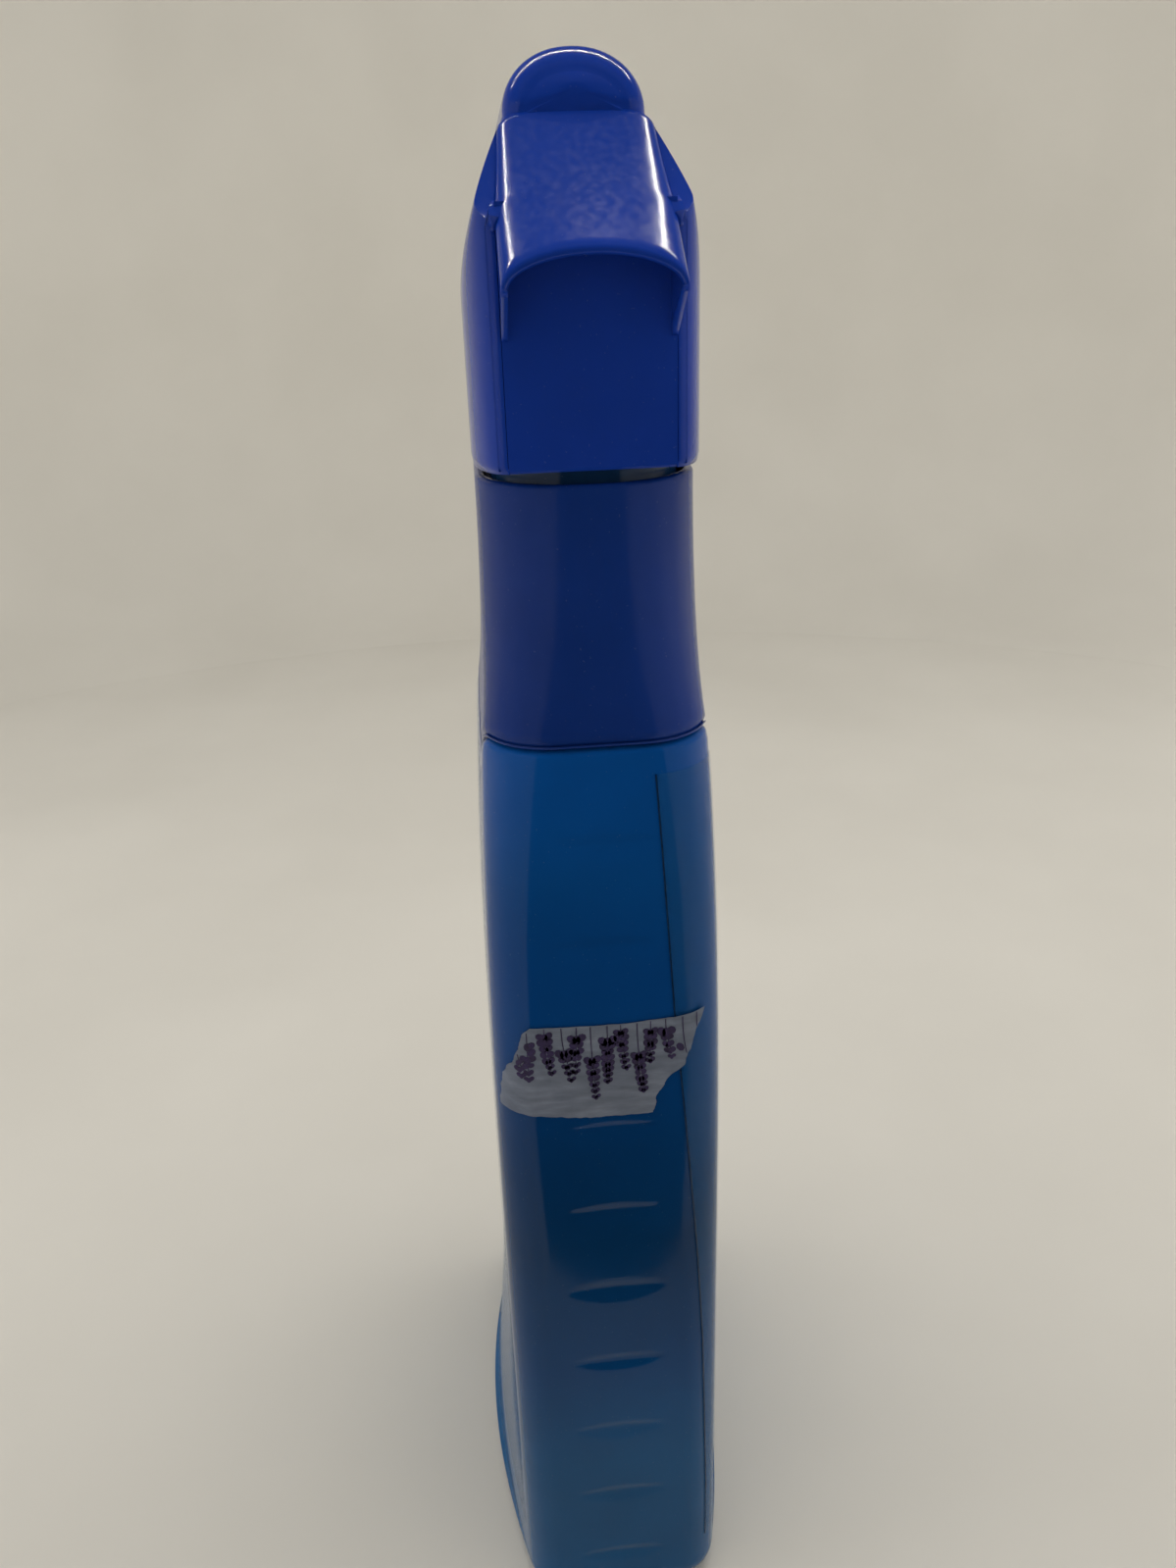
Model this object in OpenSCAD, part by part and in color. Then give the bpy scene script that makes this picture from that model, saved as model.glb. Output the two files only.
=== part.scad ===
/* [Bottle] */
// Length of the bottle from back to front, at its base
bottle_len = 108; // [96:1:130]
// Width across the middle of the flared base
base_w = 56; // [48:1:66]
// Width of the bottle across its two label faces
body_w = 44; // [39:0.5:54]
// Height to which the flare of the base reaches
flare_h = 75; // [50:1:100]
// Width of the bottle's narrow back and front ends
end_w = 43; // [38:0.5:47]
// Corner radius between the ends and the label faces
corner_r = 8; // [5:0.5:12]
// Height of the shoulder, where the bottle meets the collar at the back
bottle_h = 208; // [170:1:250]
// Height up to which the bottle keeps its full section
belly_h = 95; // [60:1:130]
// Wall of the bottle
bottle_wall = 1.2; // [0.8:0.1:2]
// Radius of the heel around the base
heel_r = 6; // [4:0.5:9]
// Rise of the push-up under the base
push_up = 4; // [2:0.5:6]

/* [Neck] */
// Distance from the bottle's back to the axis of its neck
neck_set = 28; // [25:0.5:34]
// Outer radius of the neck
neck_r = 12.4; // [11.5:0.1:13]
// Wall of the neck
neck_wall = 1.6; // [1.2:0.1:2.4]
// Height of the neck's mouth above the shoulder
neck_rise = 33; // [30:0.5:36]
// Radius of the two snap beads around the neck
bead_r = 13.7; // [13.2:0.1:14]

/* [Collar] */
// Height of the collar at the back
collar_h = 42; // [36:1:52]
// Width of the collar at its top
collar_w = 35; // [34:0.5:42]
// Length of the collar at its top
collar_len = 50; // [46:1:60]
// Width of the collar's flared foot
foot_w = 38.5; // [37:0.5:42]
// Length of the collar's flared foot
foot_len = 62; // [56:1:76]
// Corner radius of the collar's flared foot
foot_r = 12; // [9:0.5:15]
// Wall of the collar
collar_wall = 1.5; // [1.2:0.1:2]
// How far the collar's edge dips to a point on each label face
dip = 14; // [4:1:18]

/* [Head] */
// Gap between the collar and the head
head_gap = 2; // [1.5:0.5:5]
// Height of the head
head_h = 56.5; // [50:0.5:66]
// Width of the head across its cheeks
head_w = 36; // [34:0.5:42]
// Width of the dome that the spray passage runs through
dome_w = 20.5; // [19:0.5:24]
// Width of the rear cover, its ramp and its lip
cover_w = 25; // [20:0.5:27]
// How far the lip stands out behind the bottle's back
lip_out = 10; // [6:0.5:14]
// Height of the lip above the head's lower edge
lip_h = 30; // [24:0.5:36]
// Wall of the head's shells
shell_wall = 1.5; // [1.2:0.1:2]
// Distance from the neck's axis to the front of the shroud
shroud_front = 44; // [42:0.5:50]

/* [Pump] */
// Bore of the pump's cylinder
cylinder_r = 7.5; // [6:0.25:8.5]
// Length of the piston's stroke at full pull
stroke = 6.25; // [4:0.05:6.5]
// Radius of the dip tube
tube_r = 3; // [2.5:0.1:3.5]
// Wall of the dip tube
tube_wall = 1; // [0.6:0.1:1.2]
// Gap between the end of the dip tube and the floor
tube_gap = 9; // [7:0.5:16]
// Radius of the inlet ball
ball_r = 2.4; // [2:0.1:2.8]
// Coils of the return spring
spring_turns = 5; // [4:1:6]
// Wire of the return spring
wire_d = 0.9; // [0.6:0.1:1.1]

/* [Trigger] */
// Distance from the pivot down to the piston's axis
arm = 14; // [12:0.5:16]
// Distance from the pivot down to the tip of the trigger
trigger_drop = 61; // [48:1:66]
// Width of the trigger
trigger_w = 16; // [12:0.5:17]
// Thickness of the trigger's plate
trigger_t = 2.2; // [1.6:0.1:3]

/* [Nozzle] */
// Width across the flats of the nozzle cap
cap_w = 17; // [15:0.5:19]
// Length of the nozzle cap
cap_len = 12; // [10:0.5:14]

/* [Labels and tape] */
// Thickness of the label film and of the tape
film_t = 0.2; // [0.1:0.05:0.3]
// Height of the labels' lower edge above the floor
label_z = 14; // [12:1:30]
// Width of the paper tape
tape_w = 20; // [15:1:25]
// Height of the tape's middle above the floor
tape_z = 145; // [120:1:160]

/* [Fits] */
// Radial clearance of a part that turns or slides in a bore
run_gap = 0.06; // [0.02:0.01:0.1]
// Clearance between parts that only stand beside each other
side_gap = 0.3; // [0.2:0.05:0.5]

/* [Hidden] */
$fn = 64;
tiny = 0.02;

// The box of the whole object is centred on X = 0, from the lip to the bottle's front
back_x = -(bottle_len + lip_out) / 2 + lip_out;
lip_x = back_x - lip_out;
neck_x = back_x + neck_set;

// Heights, from the floor up
mouth_z = bottle_h + neck_rise;
land_h = 8;
root_z = bottle_h + 14;
collar_top = bottle_h + collar_h;
head_z = collar_top + head_gap;
top_z = head_z + head_h;
lip_z = head_z + lip_h;

// The stack that closes the neck
gasket_t = 1.2;
flange_t = 1.6;
closure_t = 1.8;
deck_t = 1.6;
gasket_top = mouth_z + gasket_t;
flange_top = gasket_top + flange_t;
closure_top = flange_top + closure_t;
deck_top = closure_top + deck_t;
closure_in = bead_r + side_gap;
closure_out = closure_in + 1.5;
closure_skirt = 17;
boss_r = 8.6;
boss_hole = boss_r + 0.2;
flange_r = neck_r + 0.2;
turret_r = 13.2;
turret_top = head_z + 1.5;

// The pump's axes
stem_r = 6.2;
barrel_z = top_z - 12;
barrel_r = 5.5;
barrel_bore = 3.2;
pivot_z = barrel_z - 9.8;
pivot_x = neck_x + 36;
pin_r = 2;
cylinder_z = pivot_z - arm;
cylinder_out = cylinder_r + 1.4;
cylinder_back = neck_x + 9;
cylinder_front = neck_x + 27;
socket_r = 6;
seat_z = flange_top + 5.2;
seat_r = 1.9;
chamber_r = ball_r + 0.6;
ball_z = seat_z + sqrt(ball_r * ball_r - seat_r * seat_r) + tiny;
barrel_end = neck_x + shroud_front + 9;
valve_x = neck_x + 36;
stem_bore = 2;

// The piston at rest
rod_r = 3;
piston_len = 5;
piston_x = cylinder_front - piston_len - 1.5;
rod_end = pivot_x + 0.9;

function lerp(a, b, t) = a + (b - a) * t;
function clamp01(t) = min(1, max(0, t));
function smooth(t) = t * t * (3 - 2 * t);
function bezier(a, b, c, n) =
    [for (i = [0:n]) let (t = i / n) (1 - t) * (1 - t) * a + 2 * t * (1 - t) * b + t * t * c];

// A section's quarter, from the middle of its end to the middle of its side.
// s holds length, end width, middle width and corner radius.
end_steps = 2;
corner_steps = 4;
side_steps = 5;
function quarter(s) = let (
    r = s[3],
    h = s[0] / 2 - r,
    e = s[1] / 2 - r,
    bulge = (s[2] - s[1]) / 2,
    lean = atan(2 * bulge / h)
) concat(
    [for (i = [0:end_steps - 1]) [s[0] / 2, e * i / end_steps]],
    [for (i = [0:corner_steps - 1]) let (a = (90 - lean) * i / corner_steps) [h + r * cos(a), e + r * sin(a)]],
    [for (i = [0:side_steps]) let (
        x = h * (1 - i / side_steps),
        a = atan(2 * bulge * x / (h * h))
    ) [x + r * sin(a), e + bulge * (1 - pow(x / h, 2)) + r * cos(a)]]
);
quarter_steps = end_steps + corner_steps + side_steps;
ring_steps = 4 * quarter_steps;
// The whole section, counted anticlockwise from the middle of the front
function ring(s) = let (q = quarter(s)) [for (i = [0:ring_steps - 1]) let (
    side = floor(i / quarter_steps),
    k = i % quarter_steps,
    p = side % 2 == 0 ? q[k] : q[quarter_steps - k]
) [(side == 1 || side == 2 ? -1 : 1) * p[0], (side >= 2 ? -1 : 1) * p[1]]];

// The section at a level of the bottle and of the collar, shrunk by t
function bottle_section(z, t) = let (
    u = clamp01((z - belly_h) / (bottle_h - belly_h)),
    v = u * u * u,
    flare = (base_w - body_w) * pow(clamp01(1 - z / flare_h), 2),
    w = lerp(end_w, foot_w, v)
) [lerp(bottle_len, foot_len, pow(u, 2.2)) - 2 * t, w - 2 * t, lerp(body_w, foot_w + 1, v) + flare - 2 * t,
    max(lerp(corner_r, foot_r, v) - t, 1)];
function collar_section(z, t) = let (
    u = clamp01((z - bottle_h) / collar_h),
    s = pow(1 - u, 2.5),
    w = lerp(collar_w, foot_w, s)
) [lerp(collar_len, foot_len, s) - 2 * t, w - 2 * t, w + s - 2 * t,
    min(lerp(collar_w / 2 - 0.8, foot_r, s) - t, w / 2 - t - 0.6)];
// How far a point of the seam dips, which fades out above and below the seam
function point_dip(x, s) = let (u = abs(2 * x / s[0])) dip * pow(max(0, 1 - u / 0.75), 1.3);
function fade(z) = z < bottle_h ? smooth(clamp01((z - bottle_h + 45) / 45)) : smooth(clamp01(1 - (z - bottle_h) / 30));
function level(z, s, t) = [for (p = ring(s))
    [back_x + s[0] / 2 + t + p[0], p[1], z - fade(z) * point_dip(p[0], s)]];
function bottle_ring(z, t = 0) = level(z, bottle_section(z, t), t);
function collar_ring(z, t = 0) = level(z, collar_section(z, t), t);
// A ring pulled in by t to make the heel, at height z
function heel_ring(z, t) = [for (p = ring(bottle_section(0, t))) [back_x + bottle_len / 2 + p[0], p[1], z]];
// A round ring about the neck's axis whose points face those of ring m
function neck_ring(m, r, z) = [for (p = m) let (a = atan2(p[1], p[0] - neck_x)) [neck_x + r * cos(a), r * sin(a), z]];
function between(m, n, t, z) = [for (i = [0:len(m) - 1])
    [lerp(m[i][0], n[i][0], t), lerp(m[i][1], n[i][1], t), z]];

// Stacks rings of equal length into a closed solid, with flat ends or joined end to end
module loft(rings, loop = false) {
    n = len(rings[0]);
    m = len(rings);
    last = loop ? m - 1 : m - 2;
    walls = [for (j = [0:last], i = [0:n - 1]) let (
        a = j * n + i,
        b = j * n + (i + 1) % n,
        c = ((j + 1) % m) * n + (i + 1) % n,
        d = ((j + 1) % m) * n + i
    ) each [[a, c, b], [a, d, c]]];
    // An end face starts at a corner, where no three points are in line
    corner = end_steps + 2;
    ends = loop ? [] : [
        [for (i = [0:n - 1]) (i + corner) % n],
        [for (i = [n - 1:-1:0]) (m - 1) * n + (i + corner) % n]
    ];
    polyhedron([for (r = rings) each r], concat(walls, ends), convexity = 8);
}

// A round part lying along X, from x0 to x1
module rod(x0, x1, r, z) {
    translate([x0, 0, z]) rotate([0, 90, 0]) cylinder(h = x1 - x0, r = r);
}
// A round part standing on the neck's axis, from z0 to z1
module post(z0, z1, r) {
    translate([neck_x, 0, z0]) cylinder(h = z1 - z0, r = r);
}

// Levels of the lofted body
body_levels = [for (i = [0:13]) lerp(label_z, bottle_h, i / 13)];

module bottle() {
    seam = bottle_ring(bottle_h);
    land = collar_wall + side_gap;
    low = collar_ring(bottle_h, land);
    high = [for (p = collar_ring(bottle_h + land_h + 3, land + 1.5)) [p[0], p[1], bottle_h + land_h]];
    root = neck_ring(high, neck_r + 0.4, root_z);
    outer = concat(
        [for (a = [0, 30, 60]) heel_ring(heel_r * (1 - cos(a)), heel_r * (1 - sin(a)))],
        [heel_ring(heel_r, 0)],
        [for (z = body_levels) bottle_ring(z)],
        [low, high],
        [for (t = [1 / 3, 2 / 3]) between(high, root, t, lerp(bottle_h + land_h, root_z, sqrt(t)))],
        [root, neck_ring(high, neck_r + 0.4, root_z + 1)]
    );
    thick = land + bottle_wall;
    low_in = collar_ring(bottle_h, thick);
    high_in = [for (p = collar_ring(bottle_h + land_h + 3, thick + 1.5)) [p[0], p[1], bottle_h + land_h - 1]];
    bore_r = neck_r - neck_wall;
    root_in = neck_ring(high_in, bore_r + 0.5, root_z - 1.5);
    inner = concat(
        [for (a = [30, 90]) heel_ring(
            push_up + bottle_wall + heel_r * (1 - cos(a)) * 0.7, bottle_wall + heel_r * (1 - sin(a)) * 0.7)],
        [for (z = body_levels) if (z < bottle_h - 3) bottle_ring(z, bottle_wall)],
        [low_in, high_in],
        [between(high_in, root_in, 0.5, lerp(bottle_h + land_h - 1, root_z - 1.5, 0.7)), root_in],
        [neck_ring(high_in, bore_r + 0.5, root_z - 0.5)]
    );
    color([0.05, 0.27, 0.5, 0.8]) difference() {
        union() {
            loft(outer);
            post(root_z - 1, mouth_z, neck_r);
            for (z = [mouth_z - 5, mouth_z - 10]) snap_bead(z);
        }
        loft(inner);
        post(root_z - 4, mouth_z + 1, bore_r);
        push_up_cut();
    }
}

module snap_bead(z) {
    depth = bead_r - neck_r;
    translate([neck_x, 0, z]) rotate_extrude() polygon([
        [neck_r - 0.5, -depth], [neck_r, -depth], [bead_r, -0.5], [bead_r, 0.5], [neck_r, depth],
        [neck_r - 0.5, depth]
    ]);
}

// Hollow under the base that leaves a resting rim
module push_up_cut() {
    rim = 8;
    translate([back_x + bottle_len / 2, 0, -1]) linear_extrude(push_up + 1)
        polygon(ring([bottle_len - 2 * rim - 2 * heel_r, end_w - rim - 2 * heel_r,
            base_w - rim - 2 * heel_r, 5]));
}

module collar() {
    levels = [for (i = [0:7]) lerp(bottle_h + 0.15, collar_top, i / 7)];
    outer = [for (z = levels) collar_ring(z)];
    inner = [for (i = [7:-1:0]) collar_ring(levels[i], collar_wall)];
    deck = collar_section(collar_top, collar_wall - 0.2);
    color([0.07, 0.16, 0.4]) union() {
        loft(concat(outer, inner), loop = true);
        difference() {
            translate([back_x + collar_len / 2, 0, closure_top]) linear_extrude(deck_t) polygon(ring(deck));
            post(closure_top - 1, deck_top + 1, boss_hole);
        }
    }
}

module closure() {
    color([0.85, 0.86, 0.84]) difference() {
        post(closure_top - closure_skirt - closure_t, closure_top, closure_out);
        post(closure_top - closure_skirt - closure_t - 1, closure_top - closure_t, closure_in);
        post(closure_top - closure_t - 1, closure_top + 1, boss_hole);
    }
}

module neck_gasket() {
    color([0.95, 0.95, 0.9]) difference() {
        post(mouth_z, gasket_top, neck_r);
        post(mouth_z - 1, gasket_top + 1, neck_r - neck_wall);
    }
}

module tube_retainer() {
    color([0.9, 0.9, 0.88]) difference() {
        union() {
            post(gasket_top, flange_top, flange_r);
            post(flange_top, seat_z, socket_r - run_gap);
            post(gasket_top - 17, gasket_top, tube_r + 2);
        }
        post(gasket_top - 18, gasket_top - 3, tube_r);
        post(gasket_top - 4, seat_z + 1, seat_r);
    }
}

module dip_tube() {
    color([0.9, 0.92, 0.92]) difference() {
        post(tube_gap, gasket_top - 3, tube_r);
        post(tube_gap - 1, gasket_top - 2, tube_r - tube_wall);
        translate([neck_x, 0, tube_gap]) rotate([0, 35, 0])
            translate([-10, -10, -12 - tube_r * sin(35)]) cube([20, 20, 12]);
    }
}

module inlet_ball() {
    color([0.75, 0.76, 0.78]) translate([neck_x, 0, ball_z]) sphere(r = ball_r);
}

// Side plates that hold the trigger's pin
ear_in = trigger_w / 2 - 1.5 + side_gap;
ear_t = 2;
module pivot_ears() {
    for (side = [-1, 1]) translate([pivot_x, side * (ear_in + ear_t / 2), pivot_z]) difference() {
        union() {
            rotate([90, 0, 0]) cylinder(h = ear_t, r = 4.2, center = true);
            translate([-4, -ear_t / 2, 0]) cube([8, ear_t, barrel_z - pivot_z]);
        }
        rotate([90, 0, 0]) cylinder(h = ear_t + 2, r = pin_r + run_gap, center = true);
    }
    difference() {
        translate([pivot_x - 4, -ear_in - ear_t, barrel_z - 1]) cube([8, 2 * (ear_in + ear_t), 2]);
        rod(pivot_x - 5, pivot_x + 5, barrel_r - 1, barrel_z);
    }
}

module pump_body() {
    color([0.88, 0.89, 0.87]) difference() {
        union() {
            post(flange_top + 0.1, deck_top, boss_r);
            post(deck_top, turret_top, turret_r);
            post(turret_top, barrel_z, stem_r);
            rod(neck_x - stem_r + 1, barrel_end, barrel_r, barrel_z);
            rod(neck_x, cylinder_front, cylinder_out, cylinder_z);
            pivot_ears();
        }
        post(flange_top - 1, seat_z, socket_r);
        post(seat_z - 1, seat_z + 2 * ball_r + 3, chamber_r);
        post(seat_z, barrel_z, stem_bore);
        rod(neck_x, cylinder_back + 1, 1.2, cylinder_z);
        rod(cylinder_back, cylinder_front + 1, cylinder_r, cylinder_z);
        rod(neck_x, barrel_end + 1, stem_bore, barrel_z);
        rod(valve_x, barrel_end + 1, barrel_bore, barrel_z);
    }
}

module piston() {
    seal = cylinder_r - run_gap;
    color([0.2, 0.3, 0.55]) union() {
        rod(piston_x, piston_x + 1.4, seal, cylinder_z);
        rod(piston_x + 1.4, piston_x + piston_len - 1.4, cylinder_r - 1, cylinder_z);
        rod(piston_x + piston_len - 1.4, piston_x + piston_len, seal, cylinder_z);
        rod(piston_x + piston_len, rod_end - rod_r / 2, rod_r, cylinder_z);
        translate([rod_end - rod_r, 0, cylinder_z]) sphere(r = rod_r);
    }
}

// A coil of wire along X
module coil(x0, x1, r, wire, turns, z) {
    per_turn = 16;
    n = turns * per_turn;
    sides = 6;
    pitch = (x1 - x0 - wire) / turns;
    lean = atan(pitch / (2 * PI * r));
    rings = [for (i = [0:n]) let (a = 360 * i / per_turn, x = x0 + wire / 2 + pitch * i / per_turn) [
        for (k = [0:sides - 1]) let (
            b = 360 * k / sides,
            out = r + wire / 2 * cos(b),
            along = wire / 2 * sin(b)
        ) [x + along * cos(lean), out * cos(a) + along * sin(lean) * sin(a),
            z + out * sin(a) - along * sin(lean) * cos(a)]
    ]];
    loft(rings);
}

module return_spring() {
    color([0.7, 0.71, 0.73])
        coil(cylinder_back + tiny, piston_x - tiny, cylinder_r - 2, wire_d, spring_turns, cylinder_z);
}

spinner_x = barrel_end - 7;
module outlet_valve() {
    color([0.95, 0.95, 0.95]) union() {
        rod(valve_x + tiny, valve_x + 1.5, barrel_bore - run_gap - 0.1, barrel_z);
        rod(valve_x + 1.5, valve_x + 4, 1.1, barrel_z);
    }
}

module outlet_spring() {
    color([0.7, 0.71, 0.73])
        coil(valve_x + 1.5 + tiny, spinner_x - tiny, 2.1, 0.5, 5, barrel_z);
}

module spinner() {
    color([0.8, 0.82, 0.85]) difference() {
        union() {
            rod(spinner_x, barrel_end, barrel_bore - tiny, barrel_z);
            rod(barrel_end, barrel_end + 0.8, barrel_r - 0.5, barrel_z);
        }
        for (a = [0:90:270]) translate([0, 0, barrel_z]) rotate([a, 0, 0])
            translate([spinner_x - 1, 0, barrel_bore]) rotate([0, 90, 0]) cylinder(h = 11, r = 0.8);
        rod(barrel_end - 1, barrel_end + 1, 1.6, barrel_z);
    }
}

cap_x = neck_x + shroud_front + 0.6;
module nozzle_cap() {
    corner = 3;
    color([0.12, 0.2, 0.5]) difference() {
        translate([cap_x, 0, barrel_z]) rotate([90, 0, 90]) linear_extrude(cap_len) hull()
            for (y = [-1, 1], z = [-1, 1]) translate([y, z] * (cap_w / 2 - corner)) circle(r = corner, $fn = 32);
        rod(cap_x - 1, barrel_end + 0.8 + side_gap, barrel_r + run_gap, barrel_z);
        rod(barrel_end, cap_x + cap_len + 1, 0.5, barrel_z);
        rod(cap_x + cap_len - 1, cap_x + cap_len + 1, 3.5, barrel_z);
    }
}

// Side view of the head: ramp from the lip up to the step, then the dome
step_x = lip_x + 22;
step_z = top_z - 8.5;
ramp = bezier([lip_x, lip_z], [lip_x + 12, lerp(lip_z, step_z, 0.48)], [step_x, step_z], 10);
dome = bezier([step_x, step_z + 1.6], [step_x + 3, top_z], [neck_x + 4, top_z], 8);
// Lower edge of the lip's side walls, from the tip forward
lip_edge = [[lip_x, lip_z - 2], [lip_x + 1, lip_z - 5.5], [back_x, lip_z - 12]];
nose_x = neck_x + shroud_front;
head_side = concat(
    [[back_x, head_z]], [for (i = [2:-1:0]) lip_edge[i]], ramp, dome,
    [[nose_x - 3, top_z - 2.5], [nose_x, top_z - 5], [nose_x, cylinder_z + 8], [neck_x + 22, head_z]]
);
// Rear view of the head: upright cheeks that close in to a narrow dome
cheek_z = head_z + 24;
dome_z = top_z - 9;
rear_half = concat(
    [[head_w / 2, head_z - 1]],
    bezier([head_w / 2, cheek_z], [head_w / 2 - 1, cheek_z + 10.5], [dome_w / 2, dome_z], 8),
    [for (a = [15:15:90]) [dome_w / 2 * cos(a), dome_z + (top_z + 0.01 - dome_z) * sin(a)]]
);
head_rear = concat(rear_half, [for (i = [len(rear_half) - 1:-1:0]) [-rear_half[i][0], rear_half[i][1]]]);
// Top view of the head: flat rear, round cheeks and a narrower nose
nose_w = cap_w + 4;
head_half = concat(
    [[lip_x - 1, cover_w / 2]],
    [for (a = [90:-15:0]) [back_x + 17 * (1 - sin(a)), cover_w / 2 + (head_w - cover_w) / 2 * cos(a)]],
    bezier([neck_x + 16, head_w / 2], [neck_x + 34, head_w / 2], [nose_x + 1, nose_w / 2], 6)
);
head_plan = concat(head_half, [for (i = [len(head_half) - 1:-1:0]) [head_half[i][0], -head_half[i][1]]]);

// The head's outer form, drawn in by t
module head_form(t) {
    intersection() {
        translate([0, 60, 0]) rotate([90, 0, 0]) linear_extrude(120) offset(delta = -t) polygon(head_side);
        translate([lip_x - 5, 0, 0]) rotate([90, 0, 90]) linear_extrude(bottle_len + 60)
            offset(delta = -t) polygon(head_rear);
        translate([0, 0, head_z - 30]) linear_extrude(head_h + 60) offset(delta = -t) polygon(head_plan);
    }
}

// Side view of the space that the rear cover takes from the head
cover_t = shell_wall;
under_ramp = [for (p = ramp) [p[0] + cover_t, p[1] - cover_t]];
module shroud() {
    inner_x = back_x + 3;
    behind = concat([[lip_x - 5, head_z - 5], [inner_x, head_z - 5], [inner_x, lookup(inner_x, under_ramp)]],
        [for (p = under_ramp) if (p[0] > inner_x + 0.1) p], [[step_x + 0.1, step_z + 0.8], [lip_x - 5, step_z + 20]]);
    color([0.08, 0.17, 0.5]) difference() {
        head_form(0);
        head_form(shell_wall);
        translate([0, 0, head_z - 1]) linear_extrude(shell_wall + 2) offset(delta = -shell_wall) polygon(head_plan);
        translate([0, (cover_w + side_gap) / 2, 0]) rotate([90, 0, 0])
            linear_extrude(cover_w + side_gap) polygon(behind);
        translate([lip_x - 5, -60, head_z - 5]) cube([back_x + 0.5 - lip_x + 5, 120, head_h + 10]);
        front_opening();
        rod(nose_x - 5, nose_x + 5, barrel_r + side_gap, barrel_z);
    }
}

// Opening under the nose that the trigger swings in
module front_opening() {
    w = trigger_w + 2 * side_gap;
    translate([neck_x + 14, -w / 2, head_z - 5]) cube([60, w, pivot_z + 4.5 - head_z + 5]);
}

module rear_cover() {
    w = cover_w - 2 * tiny;
    half = w / 2;
    band = concat(ramp, [for (i = [len(ramp) - 1:-1:0]) under_ramp[i]]);
    column_top = lookup(back_x, ramp) - 0.3;
    wall = concat(lip_edge, [[back_x + 1.5, lip_edge[2][1]], [back_x + 1.5, column_top]],
        [for (i = [4:-1:0]) ramp[i]]);
    color([0.07, 0.15, 0.46]) union() {
        translate([0, half, 0]) rotate([90, 0, 0]) linear_extrude(w) polygon(band);
        for (y = [half, -half + 1.4]) translate([0, y, 0]) rotate([90, 0, 0]) linear_extrude(1.4) polygon(wall);
        translate([back_x, -half, head_z]) cube([cover_t, w, column_top - head_z]);
    }
}

// The trigger's blade in side view, front face then back face
blade_top = [pivot_x + 3.6, pivot_z - 5];
blade_mid = [pivot_x + 4, pivot_z - trigger_drop * 0.45];
blade_tip = [pivot_x + 20, pivot_z - trigger_drop];
module trigger() {
    front = bezier(blade_top, blade_mid, blade_tip, 10);
    back = [for (p = front) [p[0] - trigger_t, p[1] - 0.2]];
    rib = [for (i = [0:10]) [front[i][0] - trigger_t - 3.4 * sin(180 * min(1, i / 10 + 0.1)), front[i][1]]];
    web = concat(front, [for (i = [10:-1:0]) rib[i]]);
    color([0.1, 0.18, 0.5]) union() {
        translate([0, trigger_w / 2, 0]) rotate([90, 0, 0]) linear_extrude(trigger_w)
            polygon(concat(front, [for (i = [10:-1:0]) back[i]]));
        for (y = [trigger_w / 2, -trigger_w / 2 + 1.5]) translate([0, y, 0]) rotate([90, 0, 0])
            linear_extrude(1.5) polygon([for (p = web) if (p[1] < pivot_z - 8) p]);
        translate([pivot_x, trigger_w / 2 - 1.5, pivot_z]) rotate([90, 0, 0]) cylinder(h = trigger_w - 3, r = 3.6);
        translate([pivot_x, ear_in + ear_t, pivot_z]) rotate([90, 0, 0]) cylinder(h = 2 * (ear_in + ear_t), r = pin_r);
        translate([rod_end + 0.3, -2.5, cylinder_z - 3]) cube([3.5, 5, 6]);
        translate([pivot_x - 1, -trigger_w / 2 + 1.5, cylinder_z]) cube([4.6, 1.5, arm]);
        translate([pivot_x - 1, trigger_w / 2 - 3, cylinder_z]) cube([4.6, 1.5, arm]);
    }
}

// A film that lies over ring points i0 to i1 of the bottle at the levels zs, lifted off it by gap
module film(i0, i1, zs, gap) {
    n = i1 - i0 + 1;
    m = len(zs);
    layer = n * m;
    pts = [for (t = [gap, gap + film_t], z = zs) let (r = bottle_ring(z, -t)) for (i = [i0:i1]) r[i]];
    faces = [for (j = [0:m - 2], i = [0:n - 2]) let (a = j * n + i, b = a + 1, c = b + n, d = a + n) each [
        [a, b, c], [a, c, d],
        [a + layer, c + layer, b + layer], [a + layer, d + layer, c + layer]
    ]];
    rims = concat(
        [for (i = [0:n - 2]) [i, i + 1]],
        [for (j = [0:m - 2]) [j * n + n - 1, (j + 1) * n + n - 1]],
        [for (i = [n - 1:-1:1]) [(m - 1) * n + i, (m - 1) * n + i - 1]],
        [for (j = [m - 1:-1:1]) [j * n, (j - 1) * n]]
    );
    edges = [for (e = rims) each [[e[0], e[0] + layer, e[1]], [e[1], e[0] + layer, e[1] + layer]]];
    polyhedron(pts, concat(faces, edges), convexity = 4);
}

label_levels = [for (i = [0:11]) body_levels[i]];
label_gap = 0.05;
tape_gap = 0.15;
module left_label() {
    color([0.8, 0.85, 0.95, 0.6]) film(quarter_steps - 6, quarter_steps + 6, label_levels, label_gap);
}

module right_label() {
    color([0.8, 0.85, 0.95, 0.6]) film(3 * quarter_steps - 6, 3 * quarter_steps + 6, label_levels, label_gap);
}

module tape_strip() {
    color([0.75, 0.76, 0.78]) film(2 * quarter_steps - 4, 2 * quarter_steps + 4,
        [tape_z - tape_w / 2, tape_z, tape_z + tape_w / 2], tape_gap);
}

bottle();
left_label();
right_label();
tape_strip();
collar();
closure();
neck_gasket();
tube_retainer();
dip_tube();
inlet_ball();
pump_body();
piston();
return_spring();
outlet_valve();
outlet_spring();
spinner();
nozzle_cap();
shroud();
rear_cover();
trigger();
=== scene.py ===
import math
import random

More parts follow.
